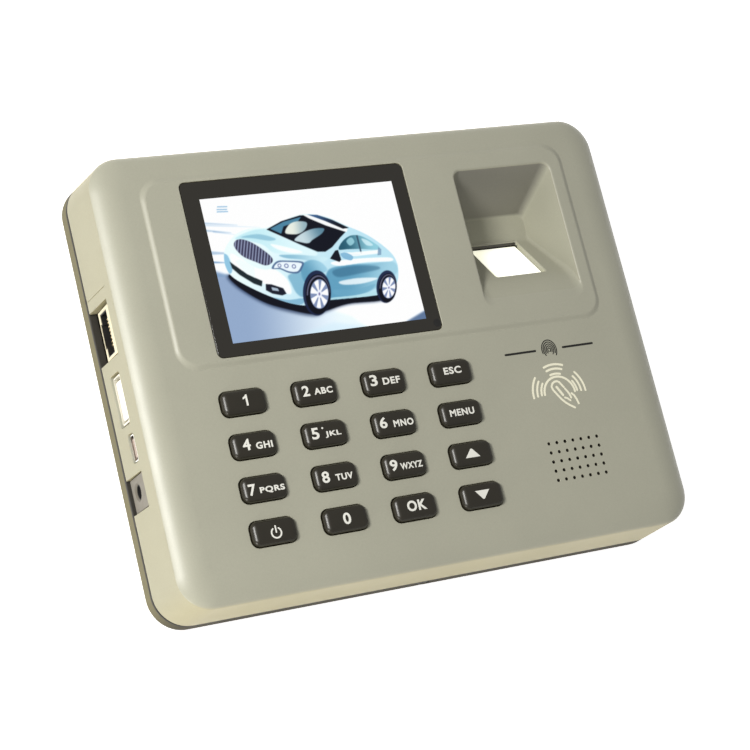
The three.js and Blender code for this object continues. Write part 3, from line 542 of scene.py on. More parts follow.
bosses = Parts()
for sx in (-70.5, 70.5):
    for sy in (-54, 54):
        bosses.cyl(sx, sy, 1.8, Z_SEAM, 4.0, 24)
rear = boolean(rear, bosses.build("bo"), "UNION")
k = Parts()
k.loft([at_z(rr(-59.3, 59.3, -44.3, 44.3, 3.3, 6), z) for z in (-1, 1.75)])
for sx in (-70.5, 70.5):
    for sy in (-54, 54):
        k.cyl(sx, sy, 0, 0, 0, 32, [(3.35, -1.0), (3.35, 0.0), (3.1, 0.25), (3.1, 2.6), (1.75, 2.61), (1.75, 8.0)])
rear = boolean(rear, k.build("k"), "DIFFERENCE")
def cyl_y(parts, x, z, prof, seg=24):
    parts.loft([[(x + q * math.cos(2 * math.pi * i / seg), y, z - q * math.sin(2 * math.pi * i / seg)) for i in range(seg)] for q, y in prof])
rear = boolean(rear, Parts().box(-7, 7, -43.6, -38.8, 0.9, 6).build("k"), "DIFFERENCE")
rear = boolean(rear, Parts().box(-1.7, 1.7, -47, -43.3, 1.62, 6.3).build("k"), "DIFFERENCE")
k = Parts()
cyl_y(k, 0, 3.2, [(2.15, -70.0), (2.15, -61.0), (1.5, -60.99), (1.5, -54.0)])
rear = boolean(rear, k.build("k"), "DIFFERENCE")
finish_shape(rear, 34)
dress(rear, "rear")
# rear inner faces are dark unpainted plastic; the seam lip takes the same dark as a painted shade line along the joint
unpainted_and_shade_faces(rear, lambda x, y, z, n: (z > 1.95 and case_depth(x, y, z) > 0.9) or (z > Z_SEAM - 0.3 and case_depth(x, y, z) > 0.05))
ride(rear, rep=("rear_cover",))

# ------------------------------------------------------------------ display lens and its picture
def slab_rings(x0, x1, y0, y1, r, z0, z1, f, seg=8):
    g = [at_z(rr(x0, x1, y0, y1, r, seg), z0)]
    for k in range(5):
        a = math.radians(90 * k / 4)
        o = f * (1 - math.cos(a))
        g.append(at_z(rr(x0 + o, x1 - o, y0 + o, y1 - o, max(0.1, r - o), seg), z1 - f + f * math.sin(a)))
    return g
lens = loft("display_lens_window", slab_rings(LENS["x0"], LENS["x1"], LENS["y0"], LENS["y1"], LENS["r"], LENS["z0"], LENS["z1"], 0.22))
finish_shape(lens, 50)
dress(lens, "lens_black")
ride(lens, rep=("display_lens",))

def screen_colours(nx, ny):
    """a plain illustration drawn by formula: a pale blue saloon car on a white studio floor; returns linear colours"""
    ss = 3
    W, H = nx * ss, ny * ss
    X, Y = np.meshgrid((np.arange(W) + 0.5) / W * 100.0, (np.arange(H) + 0.5) / H * 70.0)   # across 0..100, down 0..70
    Y = Y[::-1]
    def blur(a, sig):
        r = int(3 * sig) + 1
        k = np.exp(-0.5 * (np.arange(-r, r + 1) / sig) ** 2)
        k /= k.sum()
        for ax in (0, 1):
            p = np.pad(a, [(r, r) if q == ax else (0, 0) for q in (0, 1)], mode="edge")
            out = np.zeros_like(a)
            for i, w_ in enumerate(k):
                out += w_ * (p[i:i + a.shape[0]] if ax == 0 else p[:, i:i + a.shape[1]])
            a = out
        return a
    def poly(pts):
        p = np.array(pts, float)
        ins = np.zeros(X.shape, bool)
        j = len(p) - 1
        for i in range(len(p)):
            xi, yi, xj, yj = *p[i], *p[j]
            if yi != yj:
                ins ^= ((yi > Y) != (yj > Y)) & (X < (xj - xi) * (Y - yi) / (yj - yi) + xi)
            j = i
        return ins.astype(float)
    def curve(pts, n=8):
        p = np.array(pts, float); m = len(p); out = []
        for i in range(m):
            a, b, c, d = p[(i - 1) % m], p[i], p[(i + 1) % m], p[(i + 2) % m]
            for k in range(n):
                u = k / n
                out.append(0.5 * ((2 * b) + (-a + c) * u + (2 * a - 5 * b + 4 * c - d) * u * u + (-a + 3 * b - 3 * c + d) * u ** 3))
        return out
    def tone(c0, c1, p0, p1):
        """a colour that runs from c0 at p0 to c1 at p1"""
        d = np.array(p1, float) - np.array(p0, float)
        t = np.clip(((X - p0[0]) * d[0] + (Y - p0[1]) * d[1]) / (d @ d), 0, 1)[..., None]
        t = t * t * (3 - 2 * t)
        return np.array(c0) * (1 - t) + np.array(c1) * t
    img = np.ones((H, W, 3)) * np.array([0.985, 0.995, 1.0])
    def put(mask, col, al=1.0, soft=0.0):
        if soft:
            mask = blur(mask, soft * ss)
        m = (mask * al)[..., None]
        np.copyto(img, img * (1 - m) + np.asarray(col) * m)
    white, pale, mid, deep, ink = (0.99, 1.0, 1.0), (0.80, 0.92, 0.95), (0.42, 0.65, 0.76), (0.16, 0.34, 0.46), (0.03, 0.04, 0.09)
    # floor and moving background
    put(poly([(-2, 34), (30, 50), (62, 64), (70, 72), (-2, 72)]), tone((0.54, 0.63, 0.76), (0.90, 0.95, 0.98), (8, 54), (60, 62)), 0.95, 2.4)
    put(poly([(52, 66), (78, 72), (20, 72)]), (0.80, 0.90, 0.95), 0.6, 2.5)
    put(poly([(84, 72), (101, 65.5), (101, 72)]), (0.30, 0.40, 0.55), 0.9, 1.4)
    for x0_, y0_, x1_, y1_, wd, a in ((-2, 11.5, 16, 14.2, 0.5, 0.45), (-2, 12.6, 27, 16.4, 0.35, 0.35), (-2, 15, 12, 17.6, 0.55, 0.5), (3, 16.2, 14, 18.8, 0.35, 0.4), (-2, 26, 9, 27.4, 1.0, 0.5), (-2, 30.5, 6, 31.6, 0.55, 0.9), (-2, 36.5, 8, 38.2, 1.2, 0.35)):
        put(poly([(x0_, y0_ - wd), (x1_, y1_ - wd * 0.3), (x1_, y1_ + wd * 0.3), (x0_, y0_ + wd)]), (0.40, 0.56, 0.72), a, 0.8)
    # shadow under the car
    put(poly(curve([(4.5, 38.5), (9, 45), (20, 53.5), (31, 58.5), (43, 62), (50, 60.5), (62, 58.5), (78, 58.8), (86, 57), (80, 52), (60, 50), (40, 50), (20, 45), (9, 38)])), (0.16, 0.22, 0.34), 0.7, 2.2)
    put(poly(curve([(5.5, 38.5), (10, 44.6), (20, 52.4), (31, 57.2), (43, 61), (50, 60), (62, 58), (78, 58.4), (85, 56.6), (80, 52), (60, 50), (40, 50), (20, 45), (9, 38)])), ink, 0.98, 0.7)
    # body
    body = poly(curve([(5.2, 33.5), (6.2, 26.5), (10, 21.5), (15.5, 17.8), (23, 16.4), (30, 16.8), (38, 14.6), (46, 12.6), (53, 12.4), (62, 15), (70.5, 20), (77, 23.6), (82.5, 27.5), (88.5, 33.5), (91.5, 38.5), (91.8, 44), (89.5, 50.5), (84, 54.8), (76, 55.6), (64, 55.4), (52, 55.2), (43, 56.6), (34, 54.8), (24, 50.2), (14, 44), (7.4, 38.6)]))
    put(body, tone((0.90, 0.965, 0.975), (0.72, 0.87, 0.925), (20, 20), (60, 52)))
    # flank from the front wheel back to the tail
    put(poly(curve([(56, 40.5), (66, 39.2), (78, 39.8), (90, 40.2), (91.2, 45), (86, 48.5), (78, 52), (66, 54.8), (54, 54.6), (53, 47)])) * body, tone((0.36, 0.60, 0.72), (0.62, 0.80, 0.87), (66, 42), (84, 52)), 0.95, 1.0)
    put(poly(curve([(58, 41.2), (68, 40.0), (80, 41.2), (82, 43), (72, 44), (60, 44.6)])) * body, deep, 0.45, 1.0)
    put(poly(curve([(60, 46.8), (70, 46.2), (80, 47.4), (72, 49), (62, 48.6)])) * body, white, 0.75, 0.7)
    put(poly(curve([(56, 50.5), (68, 51.5), (78, 50), (72, 53.8), (58, 53.6)])) * body, mid, 0.6, 0.9)
    put(poly(curve([(54, 54.2), (66, 54.3), (78, 53.6), (77, 55.2), (64, 56), (54, 55.8)])) * body, (0.70, 0.86, 0.90), 0.9, 0.4)
    put(poly(curve([(58, 37.2), (66, 36.6), (78, 37), (89, 38), (89, 39.8), (76, 39), (62, 39.2)])) * body, white, 0.9, 0.5)
    # bonnet: bands of reflected light
    put(poly(curve([(13, 20.5), (22, 17.6), (30, 17.8), (36, 22), (44, 27), (52, 31.2), (50, 33.2), (42, 31.5), (31, 29.5), (26, 25), (18, 21.8)])) * body, tone((0.74, 0.90, 0.93), (0.86, 0.95, 0.965), (20, 19), (46, 31)), 0.9, 0.8)
    put(poly(curve([(16, 20.2), (25, 19.6), (33, 22.6), (30, 23.4), (22, 21.4)])) * body, mid, 0.55, 0.7)
    put(poly(curve([(30, 25), (38, 27.5), (45, 30.5), (40, 30.6), (33, 28)])) * body, white, 0.8, 0.7)
    put(poly(curve([(33, 30.8), (42, 31.6), (51, 33.2), (57, 35), (52, 36.6), (44, 34.2), (36, 32.6)])) * body, tone(mid, pale, (36, 31), (56, 36)), 0.7, 0.6)
    put(poly(curve([(42.5, 37), (48, 34.8), (53, 36.5), (55, 41), (47, 42.5), (43, 46), (41.5, 42)])) * body, tone((0.34, 0.58, 0.70), (0.60, 0.79, 0.87), (44, 40), (54, 36)), 0.9, 0.8)
    put(poly(curve([(35, 41), (41.5, 40.2), (42, 46), (40, 52), (37, 50), (35.5, 45)])) * body, mid, 0.75, 0.9)
    put(poly(curve([(24, 50.4), (32, 52.6), (39.5, 52.8), (38.5, 55.4), (32, 54.4)])) * body, (0.45, 0.66, 0.78), 0.8, 0.5)
    put(poly(curve([(9, 27.6), (13, 29.8), (18, 34.5), (24, 37), (29, 37.4), (34, 43), (34, 50), (26, 46), (16, 39.5), (9.5, 33)])) * body, white, 0.85, 0.8)
    put(poly(curve([(5.2, 27.5), (7.6, 28.5), (8.2, 35), (6.4, 37), (5.2, 33)])) * body, (0.50, 0.72, 0.84), 0.85, 0.5)
    # greenhouse
    put(poly([(29.6, 17.8), (38, 14.5), (48, 12.6), (52, 12.8), (60.5, 17.6), (70, 22.6), (66, 25.4), (60.5, 29.8), (56.6, 31.6), (52.5, 31.2), (44, 26.4), (36, 21.6)]), ink, 0.97, 0.35)
    put(poly([(31.5, 17.6), (39, 14.9), (48.5, 13.4), (46.5, 15.4), (38.5, 17.2), (36.5, 20.6)]), (0.36, 0.62, 0.74), 0.8, 0.5)
    put(poly(curve([(38.6, 20.2), (41.5, 16.6), (46, 15.4), (50.6, 16.4), (49.4, 19.4), (45.8, 21.4), (41.6, 21.4)])), tone((0.96, 0.98, 0.93), (0.62, 0.74, 0.78), (42, 18), (50, 19)), 0.92, 0.5)
    put(poly(curve([(42.4, 24.2), (47, 21.4), (53, 19.8), (58.6, 20.2), (57, 22.6), (51.5, 25.2), (49, 26.6), (45, 25.6)])), tone((0.86, 0.94, 0.96), (0.40, 0.58, 0.66), (46, 24), (58, 21)), 0.88, 0.5)
    put(poly([(49.5, 12.4), (53.5, 12.8), (62, 17.4), (70.8, 21.8), (69.8, 23.2), (60, 18.8), (52.5, 14.6)]), white, 0.95, 0.3)
    put(poly([(52, 12.6), (57, 13.2), (64, 16.4), (71.6, 21.2), (68.4, 21.4), (60.4, 16.8)]), tone((0.20, 0.34, 0.52), ink, (54, 13), (68, 20)), 0.95, 0.3)
    put(poly(curve([(63.6, 31.2), (66.4, 27.6), (71, 25.2), (75.6, 25.4), (80, 27.8), (84.8, 32), (83.6, 33.4), (75, 32.2), (68, 31.6)])), tone((0.12, 0.32, 0.40), (0.55, 0.78, 0.84), (65, 30), (83, 30)), 0.95, 0.35)
    put(poly(curve([(68.6, 27.6), (71.5, 26), (72.6, 28.4), (70, 30)])), (0.66, 0.86, 0.90), 0.75, 0.5)
    put(poly(curve([(76.6, 27.2), (79.6, 28.4), (81.8, 31), (78.4, 30.6)])), (0.86, 0.95, 0.97), 0.7, 0.4)
    put(poly([(74.2, 25.2), (75.2, 25.2), (75.2, 34.6), (74.2, 34.4)]), (0.20, 0.30, 0.38), 0.85, 0.25)
    put(poly([(66, 33.4), (74, 34.6), (74, 35.2), (66, 34.4)]), (0.30, 0.46, 0.56), 0.7, 0.25)
    put(poly([(64.5, 32.8), (70, 33.4), (84, 33.6), (84, 35.4), (72, 35.4), (65, 34.6)]), white, 0.85, 0.4)
    put(poly([(58, 35.2), (61.6, 31.6), (63.2, 31.4), (63.6, 36.4), (62.4, 37.4)]), ink, 0.95, 0.3)
    put(poly(curve([(64, 33.4), (67, 33.2), (70, 35.4), (68.6, 37.2), (65, 35.8)])), (0.50, 0.70, 0.82), 0.95, 0.3)
    put(poly([(84.2, 32.2), (85.6, 33.4), (84.8, 36.2), (82.8, 36.2)]), (0.42, 0.54, 0.66), 0.7, 0.3)
    # grille: a plain rounded mouth with upright bars, lamp, lower intake, blank plate
    gr = poly(curve([(11.8, 24.6), (12.8, 21.8), (16, 21.2), (20.6, 23.2), (25.6, 27.4), (29, 31.6), (28.4, 34), (25, 35), (20.5, 32.8), (14.8, 29.4)]))
    put(gr, (0.20, 0.19, 0.30), 0.95, 0.3)
    put(gr * (np.mod(X + 0.34 * Y, 1.55) < 0.62), (0.66, 0.71, 0.82), 0.75, 0.22)
    put(poly(curve([(27.6, 36.8), (31, 33.6), (36.8, 33.9), (43.8, 35.2), (43.4, 37.6), (40.4, 40.4), (35.6, 39.8), (31.6, 37.6)])), (0.30, 0.40, 0.55), 0.9, 0.35)
    put(poly(curve([(28.8, 36.6), (31.6, 34.3), (36.8, 34.6), (42.8, 35.8), (42.2, 37.6), (39.8, 39.6), (35.8, 39), (32, 37)])), (0.93, 0.97, 1.0), 0.95, 0.3)
    for cx, cy, r_ in ((31.8, 35.8, 1.0), (35.2, 36.3, 1.15), (38.9, 37, 1.1)):
        put((((X - cx) ** 2 + (Y - cy) ** 2 < r_ * r_) & ((X - cx) ** 2 + (Y - cy) ** 2 > (0.55 * r_) ** 2)).astype(float), (0.36, 0.40, 0.58), 0.8, 0.25)
    put(poly([(7.8, 31.2), (10, 33.4), (15, 38.2), (21.6, 42.2), (20.6, 44.8), (17, 43), (11, 38), (8.2, 34.6)]), (0.07, 0.12, 0.14), 0.95, 0.4)
    put(poly([(10.2, 31.4), (13, 30.6), (19.2, 35.4), (18.4, 40.4), (14, 37)]), (0.92, 0.98, 0.97), 0.95, 0.35)
    put(poly([(22.8, 43.8), (25.6, 44.3), (31, 46.8), (32, 49.6), (29.6, 50.2), (25, 48.8), (22.2, 46.8)]), (0.06, 0.07, 0.13), 0.95, 0.35)
    put(poly([(25.2, 45.6), (28.2, 46.6), (28.6, 48), (25.4, 47.2)]), (0.80, 0.88, 0.94), 0.8, 0.3)
    # wheels
    for cx, cy, rx, ry, sl in ((47.6, 51.6, 6.4, 9.6, 0.22), (83.8, 52.6, 4.8, 7.0, 0.30)):
        u_, v_ = (X - cx) + sl * (Y - cy) * 0.9, (Y - cy)
        e = lambda q, du=0.0, dv=0.0: (((u_ - du) / (rx * q)) ** 2 + ((v_ - dv) / (ry * q)) ** 2 < 1).astype(float)
        put(e(1.13, -0.5, -0.6), (0.10, 0.14, 0.26), 0.95, 0.4)
        put(e(1.0), ink, 1.0, 0.3)
        put(e(0.94, 0.2) * (1 - e(0.86, 0.4)) * (v_ < 0), (0.62, 0.62, 0.74), 0.6, 0.4)
        ang = np.arctan2(v_ / ry, (u_ - 0.7) / rx)
        put(e(0.74, 0.7), (0.50, 0.56, 0.70), 1.0, 0.25)
        put(e(0.70, 0.7) * (np.cos(ang * 7 + 0.5) > -0.25), (0.97, 0.98, 1.0), 1.0, 0.22)
        put(e(0.20, 0.7), (0.90, 0.92, 0.97), 1.0, 0.2)
        put(e(0.08, 0.7), (0.45, 0.42, 0.60), 0.9, 0.2)
    # three short plain bars as a caption, top left
    for x0_, y0_, x1_ in ((7.9, 4.2, 13.0), (7.4, 5.5, 12.6), (7.2, 6.6, 12.8)):
        put(poly([(x0_, y0_), (x1_, y0_ + 0.35), (x1_, y0_ + 0.95), (x0_, y0_ + 0.6)]), (0.48, 0.66, 0.80), 0.8, 0.35)
    img = np.clip(img, 0, 1)
    img = img.reshape(ny, ss, nx, ss, 3).mean((1, 3))
    img = np.clip((img - 0.5) * 1.06 + 0.51, 0, 1)
    return np.where(img <= 0.04045, img / 12.92, ((img + 0.055) / 1.055) ** 2.4)

nx, ny = 330, 232
col = screen_colours(nx, ny)
x0, x1, y0, y1 = ACTIVE["x0"], ACTIVE["x1"], ACTIVE["y0"], ACTIVE["y1"]
xs, ys = np.linspace(x0, x1, nx), np.linspace(y0, y1, ny)
ztop, zbot = 27.375, 27.352
V = [(x, y, ztop) for y in ys for x in xs]
F = [(j * nx + i, j * nx + i + 1, (j + 1) * nx + i + 1, (j + 1) * nx + i) for j in range(ny - 1) for i in range(nx - 1)]
edge = [i for i in range(nx)] + [j * nx + nx - 1 for j in range(1, ny)] + [(ny - 1) * nx + i for i in range(nx - 2, -1, -1)] + [j * nx for j in range(ny - 2, 0, -1)]
nb = len(V)
V += [(V[e][0], V[e][1], zbot) for e in edge]
m_ = len(edge)
F += [(nb + k, nb + (k + 1) % m_, edge[(k + 1) % m_], edge[k]) for k in range(m_)]
F.append(tuple(nb + k for k in reversed(range(m_))))
pic = make("display_picture", V, F, smooth=False)
att = pic.data.color_attributes.new("picture", "FLOAT_COLOR", "POINT")
c4 = np.ones((len(V), 4), np.float32)
c4[:nx * ny, :3] = col.reshape(-1, 3)
c4[nx * ny:, :3] = col.reshape(-1, 3)[edge]
att.data.foreach_set("color", c4.ravel())
m = Mat("lit_display", base=(0.004, 0.004, 0.005, 1), rough=0.25)
m.set("Specular IOR Level", 0.12)
vc = m.node("ShaderNodeVertexColor", layer_name="picture")
grid = m.maprange(m.noise(5200.0, 1.0, 0.5), 0.3, 0.7, 0.97, 1.0)
mv = m.node("ShaderNodeVectorMath", operation="SCALE")
m.l.new(vc.outputs["Color"], mv.inputs[0])
m.l.new(grid, mv.inputs["Scale"])
m.to(mv.outputs[0], "Emission Color")
m.set("Emission Strength", 1.0)
dress(pic, m.m)
ride(pic)

led = Parts().cyl(0, 0, 0, 0, 0, 28, [(1.15, 27.352), (1.15, 27.375), (1.0, 27.385), (0.72, 27.385), (0.70, 27.372)]).build("status_led_lens")
for v in led.data.vertices:
    v.co.x += 12.0 * MM
    v.co.y += 4.7 * MM
finish_shape(led, 50)
dress(led, plain("led_lens", lin(16, 14, 12), 0.06, scale=600, var=0.1, bump=0.01, Coat_Weight=0.5))
ride(led)

# ------------------------------------------------------------------ reader window
w, l = WIN["w"] / 2, WIN["l"] / 2
g = [[tilt(p) for p in at_z(rr(-w, w, -l, l, 0.5, 5), -2.6)]]
for k in range(5):
    a = math.radians(90 * k / 4)
    o = 0.3 * (1 - math.cos(a))
    g.append([tilt(p) for p in at_z(rr(-w + o, w - o, -l + o, l - o, 0.5, 5), -0.42 + 0.3 * math.sin(a))])
win = loft("reader_window_glass", [list(reversed(r)) for r in g][::-1] if False else g)
finish_shape(win, 50)
m = Mat("lit_window", base=lin(240, 238, 220), rough=0.08)
co = m.node("ShaderNodeSeparateXYZ")
m.l.new(m.coord(), co.inputs[0])
dx = m.math("DIVIDE", m.math("SUBTRACT", co.outputs["X"], (WIN["cx"] + 1.5) * MM), 9.5 * MM)
dz = m.math("DIVIDE", m.math("SUBTRACT", co.outputs["Y"], (WIN["cy"] - 1.0) * MM), 9.0 * MM)
rad = m.math("ADD", m.math("MULTIPLY", dx, dx), m.math("MULTIPLY", dz, dz))
m.to(m.ramp(rad, [(0.0, (1.0, 1.0, 1.0, 1)), (0.35, (1.0, 1.0, 0.985, 1)), (0.9, (0.86, 0.85, 0.68, 1))]), "Emission Color")
m.set("Emission Strength", 0.92)
m.set("Coat Weight", 0.3)
dress(win, m.m)
ride(win, rep=("sensor_window",))
def ring_solid(outer, inner, za, zb):
    """a flat frame between two outlines of as many points"""
    n = len(outer)
    v = [(*p, z) for z in (za, zb) for q in (outer, inner) for p in q]
    f = []
    for k in range(n):
        m = (k + 1) % n
        o0, o1, i0, i1, O0, O1, I0, I1 = k, m, n + k, n + m, 2 * n + k, 2 * n + m, 3 * n + k, 3 * n + m
        f += [(o0, i0, i1, o1), (O0, O1, I1, I0), (o0, o1, O1, O0), (i0, I0, I1, i1)]
    return v, f
v, f = ring_solid(rr(-w - 0.22, w + 0.22, -l - 0.22, l + 0.22, 0.68, 5), rr(-w - 0.02, w + 0.02, -l - 0.02, l + 0.02, 0.5, 5), -1.9, -0.4)
seal = make("reader_window_seal", [tilt(p) for p in v], f)
finish_shape(seal, 40, weighted=False)
dress(seal, "foam")
ride(seal)

# ------------------------------------------------------------------ keys and their legends
def key_rings(x, y):
    def ring(i, z, r):
        return at_z(rr(x - KEY["w"] / 2 + i, x + KEY["w"] / 2 - i, y - KEY["h"] / 2 + i, y + KEY["h"] / 2 - i, r, 9), z)
    g = [ring(-0.8, 23.0, 1.6), ring(-0.8, 24.2, 1.6), ring(0.0, 24.21, 2.0), ring(0.02, 27.2, 1.98)]
    for k in range(1, 13):
        a = math.radians(90 * k / 12)
        g.append(ring(0.04 + 1.75 * (1 - math.cos(a)), 27.2 + 1.34 * math.sin(a), max(0.35, 1.96 - 2.6 * (1 - math.cos(a)))))
    g.append(ring(2.4, 28.56, 0.3))
    g.append(ring(2.9, 28.575, 0.25))
    return g

for j in range(4):
    for i in range(4):
        n = KEY_NAMES[j][i]
        x, y = KEY["x"] + i * KEY["px"], KEY["y"] - j * KEY["py"]
        cap = loft("cap_" + n, key_rings(x, y))
        finish_shape(cap, 40, weighted=False)
        dress(cap, "key")
        ride(cap, n + "_body", (n,))

def solid_from_text(body, size, bold, x, y, z, t=0.03, stretch=1.0, align="CENTER", space=1.0):
    cu = bpy.data.curves.new("t", "FONT")
    cu.body = body
    cu.size = size * MM
    cu.offset = bold * MM
    cu.space_character = space
    cu.extrude = t / 2 * MM
    cu.resolution_u = 4
    cu.align_x, cu.align_y = align, "CENTER"
    ob = bpy.data.objects.new("t", cu)
    scene.collection.objects.link(ob)
    dg = bpy.context.evaluated_depsgraph_get()
    me = bpy.data.meshes.new_from_object(ob.evaluated_get(dg))
    vs = [(v.co.x * stretch + x * MM, v.co.y + y * MM, v.co.z + z * MM) for v in me.vertices]
    fs = [tuple(p.vertices) for p in me.polygons]
    bpy.data.objects.remove(ob, do_unlink=True)
    bpy.data.curves.remove(cu)
    bpy.data.meshes.remove(me)
    return [(a / MM, b / MM, c / MM) for a, b, c in vs], fs

def prism(pts, z0, z1):
    """flat outline, counter-clockwise, with a thickness"""
    return loft_vf([at_z(pts, z0), at_z(pts, z1)])

def stroke(path, wdt, z0, z1, closed=False, cap=True):
    """a line of even width along points, as a thin closed solid"""
    P = [Vector((p[0], p[1])) for p in path]
    n = len(P)
    L, R = [], []
    for k in range(n):
        a = P[(k - 1) % n] if (k > 0 or closed) else P[k]
        b = P[(k + 1) % n] if (k < n - 1 or closed) else P[k]
        d = (b - a).normalized()
        nn = Vector((-d.y, d.x)) * (wdt / 2)
        L.append(P[k] + nn)
        R.append(P[k] - nn)
    if closed:
        v = [(*p, z) for z in (z0, z1) for q in (L, R) for p in q]
        f = []
        for k in range(n):
            m = (k + 1) % n
            l0, l1, r0, r1 = k, m, n + k, n + m
            L0, L1, R0, R1 = 2 * n + k, 2 * n + m, 3 * n + k, 3 * n + m
            f += [(l0, l1, r1, r0), (L0, R0, R1, L1), (l0, L0, L1, l1), (r0, r1, R1, R0)]
        return v, f
    if cap:
        def arc(c, d, s):
            a0 = math.atan2(d.y, d.x)
            return [Vector((c.x + wdt / 2 * math.cos(a0 + s * math.pi / 2 - s * math.pi * k / 6), c.y + wdt / 2 * math.sin(a0 + s * math.pi / 2 - s * math.pi * k / 6))) for k in range(1, 6)]
        e1 = arc(P[-1], P[-1] - P[-2], 1)
        e0 = arc(P[0], P[0] - P[1], 1)
        ring = L + e1 + list(reversed(R)) + e0
    else:
        ring = L + list(reversed(R))
    ring = [(p.x, p.y) for p in reversed(ring)]
    nn = len(ring)
    # strip triangulation is left to the face filler: long thin outlines stay simple polygons
    v = [(*p, z0) for p in ring] + [(*p, z1) for p in ring]
    area = sum(ring[k][0] * ring[(k + 1) % nn][1] - ring[(k + 1) % nn][0] * ring[k][1] for k in range(nn))
    if area < 0:
        ring = ring[::-1]
        v = [(*p, z0) for p in ring] + [(*p, z1) for p in ring]
    f = [tuple(reversed(range(nn))), tuple(range(nn, 2 * nn))] + [(k, (k + 1) % nn, nn + (k + 1) % nn, nn + k) for k in range(nn)]
    return v, f

# boxes on the top of the caps: x0, x1, y0, y1
TEXTS = {
         "key_2": [("2", -33.6, -31.5, -11.1, -8.15), ("ABC", -30.2, -24.75, -11.0, -9.15)],
         "key_3": [("3", -13.25, -11.05, -10.95, -7.8), ("DEF", -9.5, -4.25, -10.95, -9.0)],
         "key_4": [("4", -53.85, -51.6, -23.15, -20.05), ("GHI", -50.15, -45.4, -23.25, -21.35)],
         "key_5": [("5", -33.85, -31.65, -23.05, -19.9), ("JKL", -29.95, -25.25, -23.1, -21.3)],
         "key_6": [("6", -13.45, -11.25, -22.9, -19.8), ("MNO", -9.4, -3.35, -23.0, -21.05)],
         "key_7": [("7", -55.05, -53.0, -35.3, -32.2), ("PQRS", -51.95, -44.85, -35.2, -33.35)],
         "key_8": [("8", -33.85, -31.65, -35.1, -31.95), ("TUV", -29.95, -24.85, -34.95, -33.15)],
         "key_9": [("9", -13.5, -11.25, -34.9, -31.8), ("WXYZ", -10.5, -3.8, -34.85, -33.05)],
         "key_0": [("0", -30.65, -28.4, -46.9, -43.75)],
         "key_esc": [("ESC", 9.5, 14.95, -10.65, -8.6)], "key_menu": [("MENU", 8.15, 15.75, -22.6, -20.65)],
         "key_ok": [("OK", -11.45, -5.65, -46.5, -43.55)]}
LEG_Z0, LEG_Z1 = 28.545, 28.6
def fit_text(body, x0, x1, y0, y1):
    """lettering of the built-in typeface, emboldened and spaced, that fills a box"""
    big = len(body) == 1
    v, f = solid_from_text(body, 4.0, 0.10 if big else 0.13, 0, 0, (LEG_Z0 + LEG_Z1) / 2, LEG_Z1 - LEG_Z0, space=1.0 if big else 1.12)
    a = np.array(v)
    lo, hi = a.min(0), a.max(0)
    a[:, 0] = x0 + (a[:, 0] - lo[0]) * (x1 - x0) / (hi[0] - lo[0])
    a[:, 1] = y0 + (a[:, 1] - lo[1]) * (y1 - y0) / (hi[1] - lo[1])
    return [tuple(p) for p in a], f
for j in range(4):
    for i in range(4):
        n = KEY_NAMES[j][i]
        p = Parts()
        for body, *bx in TEXTS.get(n, ()):
            p.add(*fit_text(body, *bx))
        if n == "key_5":
            p.loft([at_z([(-30.4 + 0.27 * math.cos(a), -20.25 + 0.27 * math.sin(a)) for a in np.linspace(0, 2 * math.pi, 16, endpoint=False)], z) for z in (LEG_Z0, LEG_Z1)])
        if n == "key_1":
            p.add(*prism([(-50.05, -11.25), (-49.5, -11.25), (-49.5, -8.2), (-49.92, -8.2), (-50.2, -8.62), (-50.8, -9.0), (-50.8, -9.5), (-50.05, -9.12)], LEG_Z0, LEG_Z1))
        if n == "key_up":
            p.add(*prism([(9.5, -34.65), (14.1, -34.65), (12.0, -32.2), (11.55, -32.2)], LEG_Z0, LEG_Z1))
        if n == "key_down":
            p.add(*prism([(9.7, -44.0), (11.65, -46.45), (12.1, -46.45), (14.15, -44.0)], LEG_Z0, LEG_Z1))
        if n == "key_power":
            c = (-50.12, -45.85)
            path = [(c[0] + 1.38 * math.sin(a), c[1] + 1.38 * math.cos(a)) for a in np.radians(np.linspace(36, 324, 28))]
            p.add(*stroke(path, 0.42, LEG_Z0, LEG_Z1))
            p.add(*stroke([(c[0], c[1] + 0.15), (c[0], c[1] + 1.0), (c[0], c[1] + 1.8)], 0.42, LEG_Z0, LEG_Z1))
        ob = p.build("legend_" + n, smooth=False)
        dress(ob, "legend")
        ride(ob, n + "_body")

# ------------------------------------------------------------------ printed card symbol
IZ0, IZ1 = Z_FACE - 0.01, Z_FACE + 0.03
p = Parts()
def arc_pts(c, r, a0, a1, n=18):
    """clockwise from straight up, in degrees"""
    return [(c[0] + r * math.sin(math.radians(a)), c[1] + r * math.cos(math.radians(a))) for a in np.linspace(a0, a1, n)]
IC = (45.0, -20.27)
p.add(*stroke(arc_pts(IC, 4.95, -88, 90, 34), 0.62, IZ0, IZ1))
for r, h in ((5.82, 16), (7.32, 20), (8.6, 21)):
    p.add(*stroke(arc_pts(IC, r, -h, h), 0.62, IZ0, IZ1))
for r, a0, a1 in ((5.95, -88, -54), (7.27, -90, -54), (8.65, -92, -51)):
    p.add(*stroke(arc_pts(IC, r, a0, a1), 0.6, IZ0, IZ1))
for r, a0, a1 in ((5.75, 58, 88), (7.0, 51, 90), (8.4, 49, 91)):
    p.add(*stroke(arc_pts(IC, r, a0, a1), 0.6, IZ0, IZ1))
def px_line(pts):
    return [(30 + u / 30.0, -2 - v / 30.0) for u, v in pts]
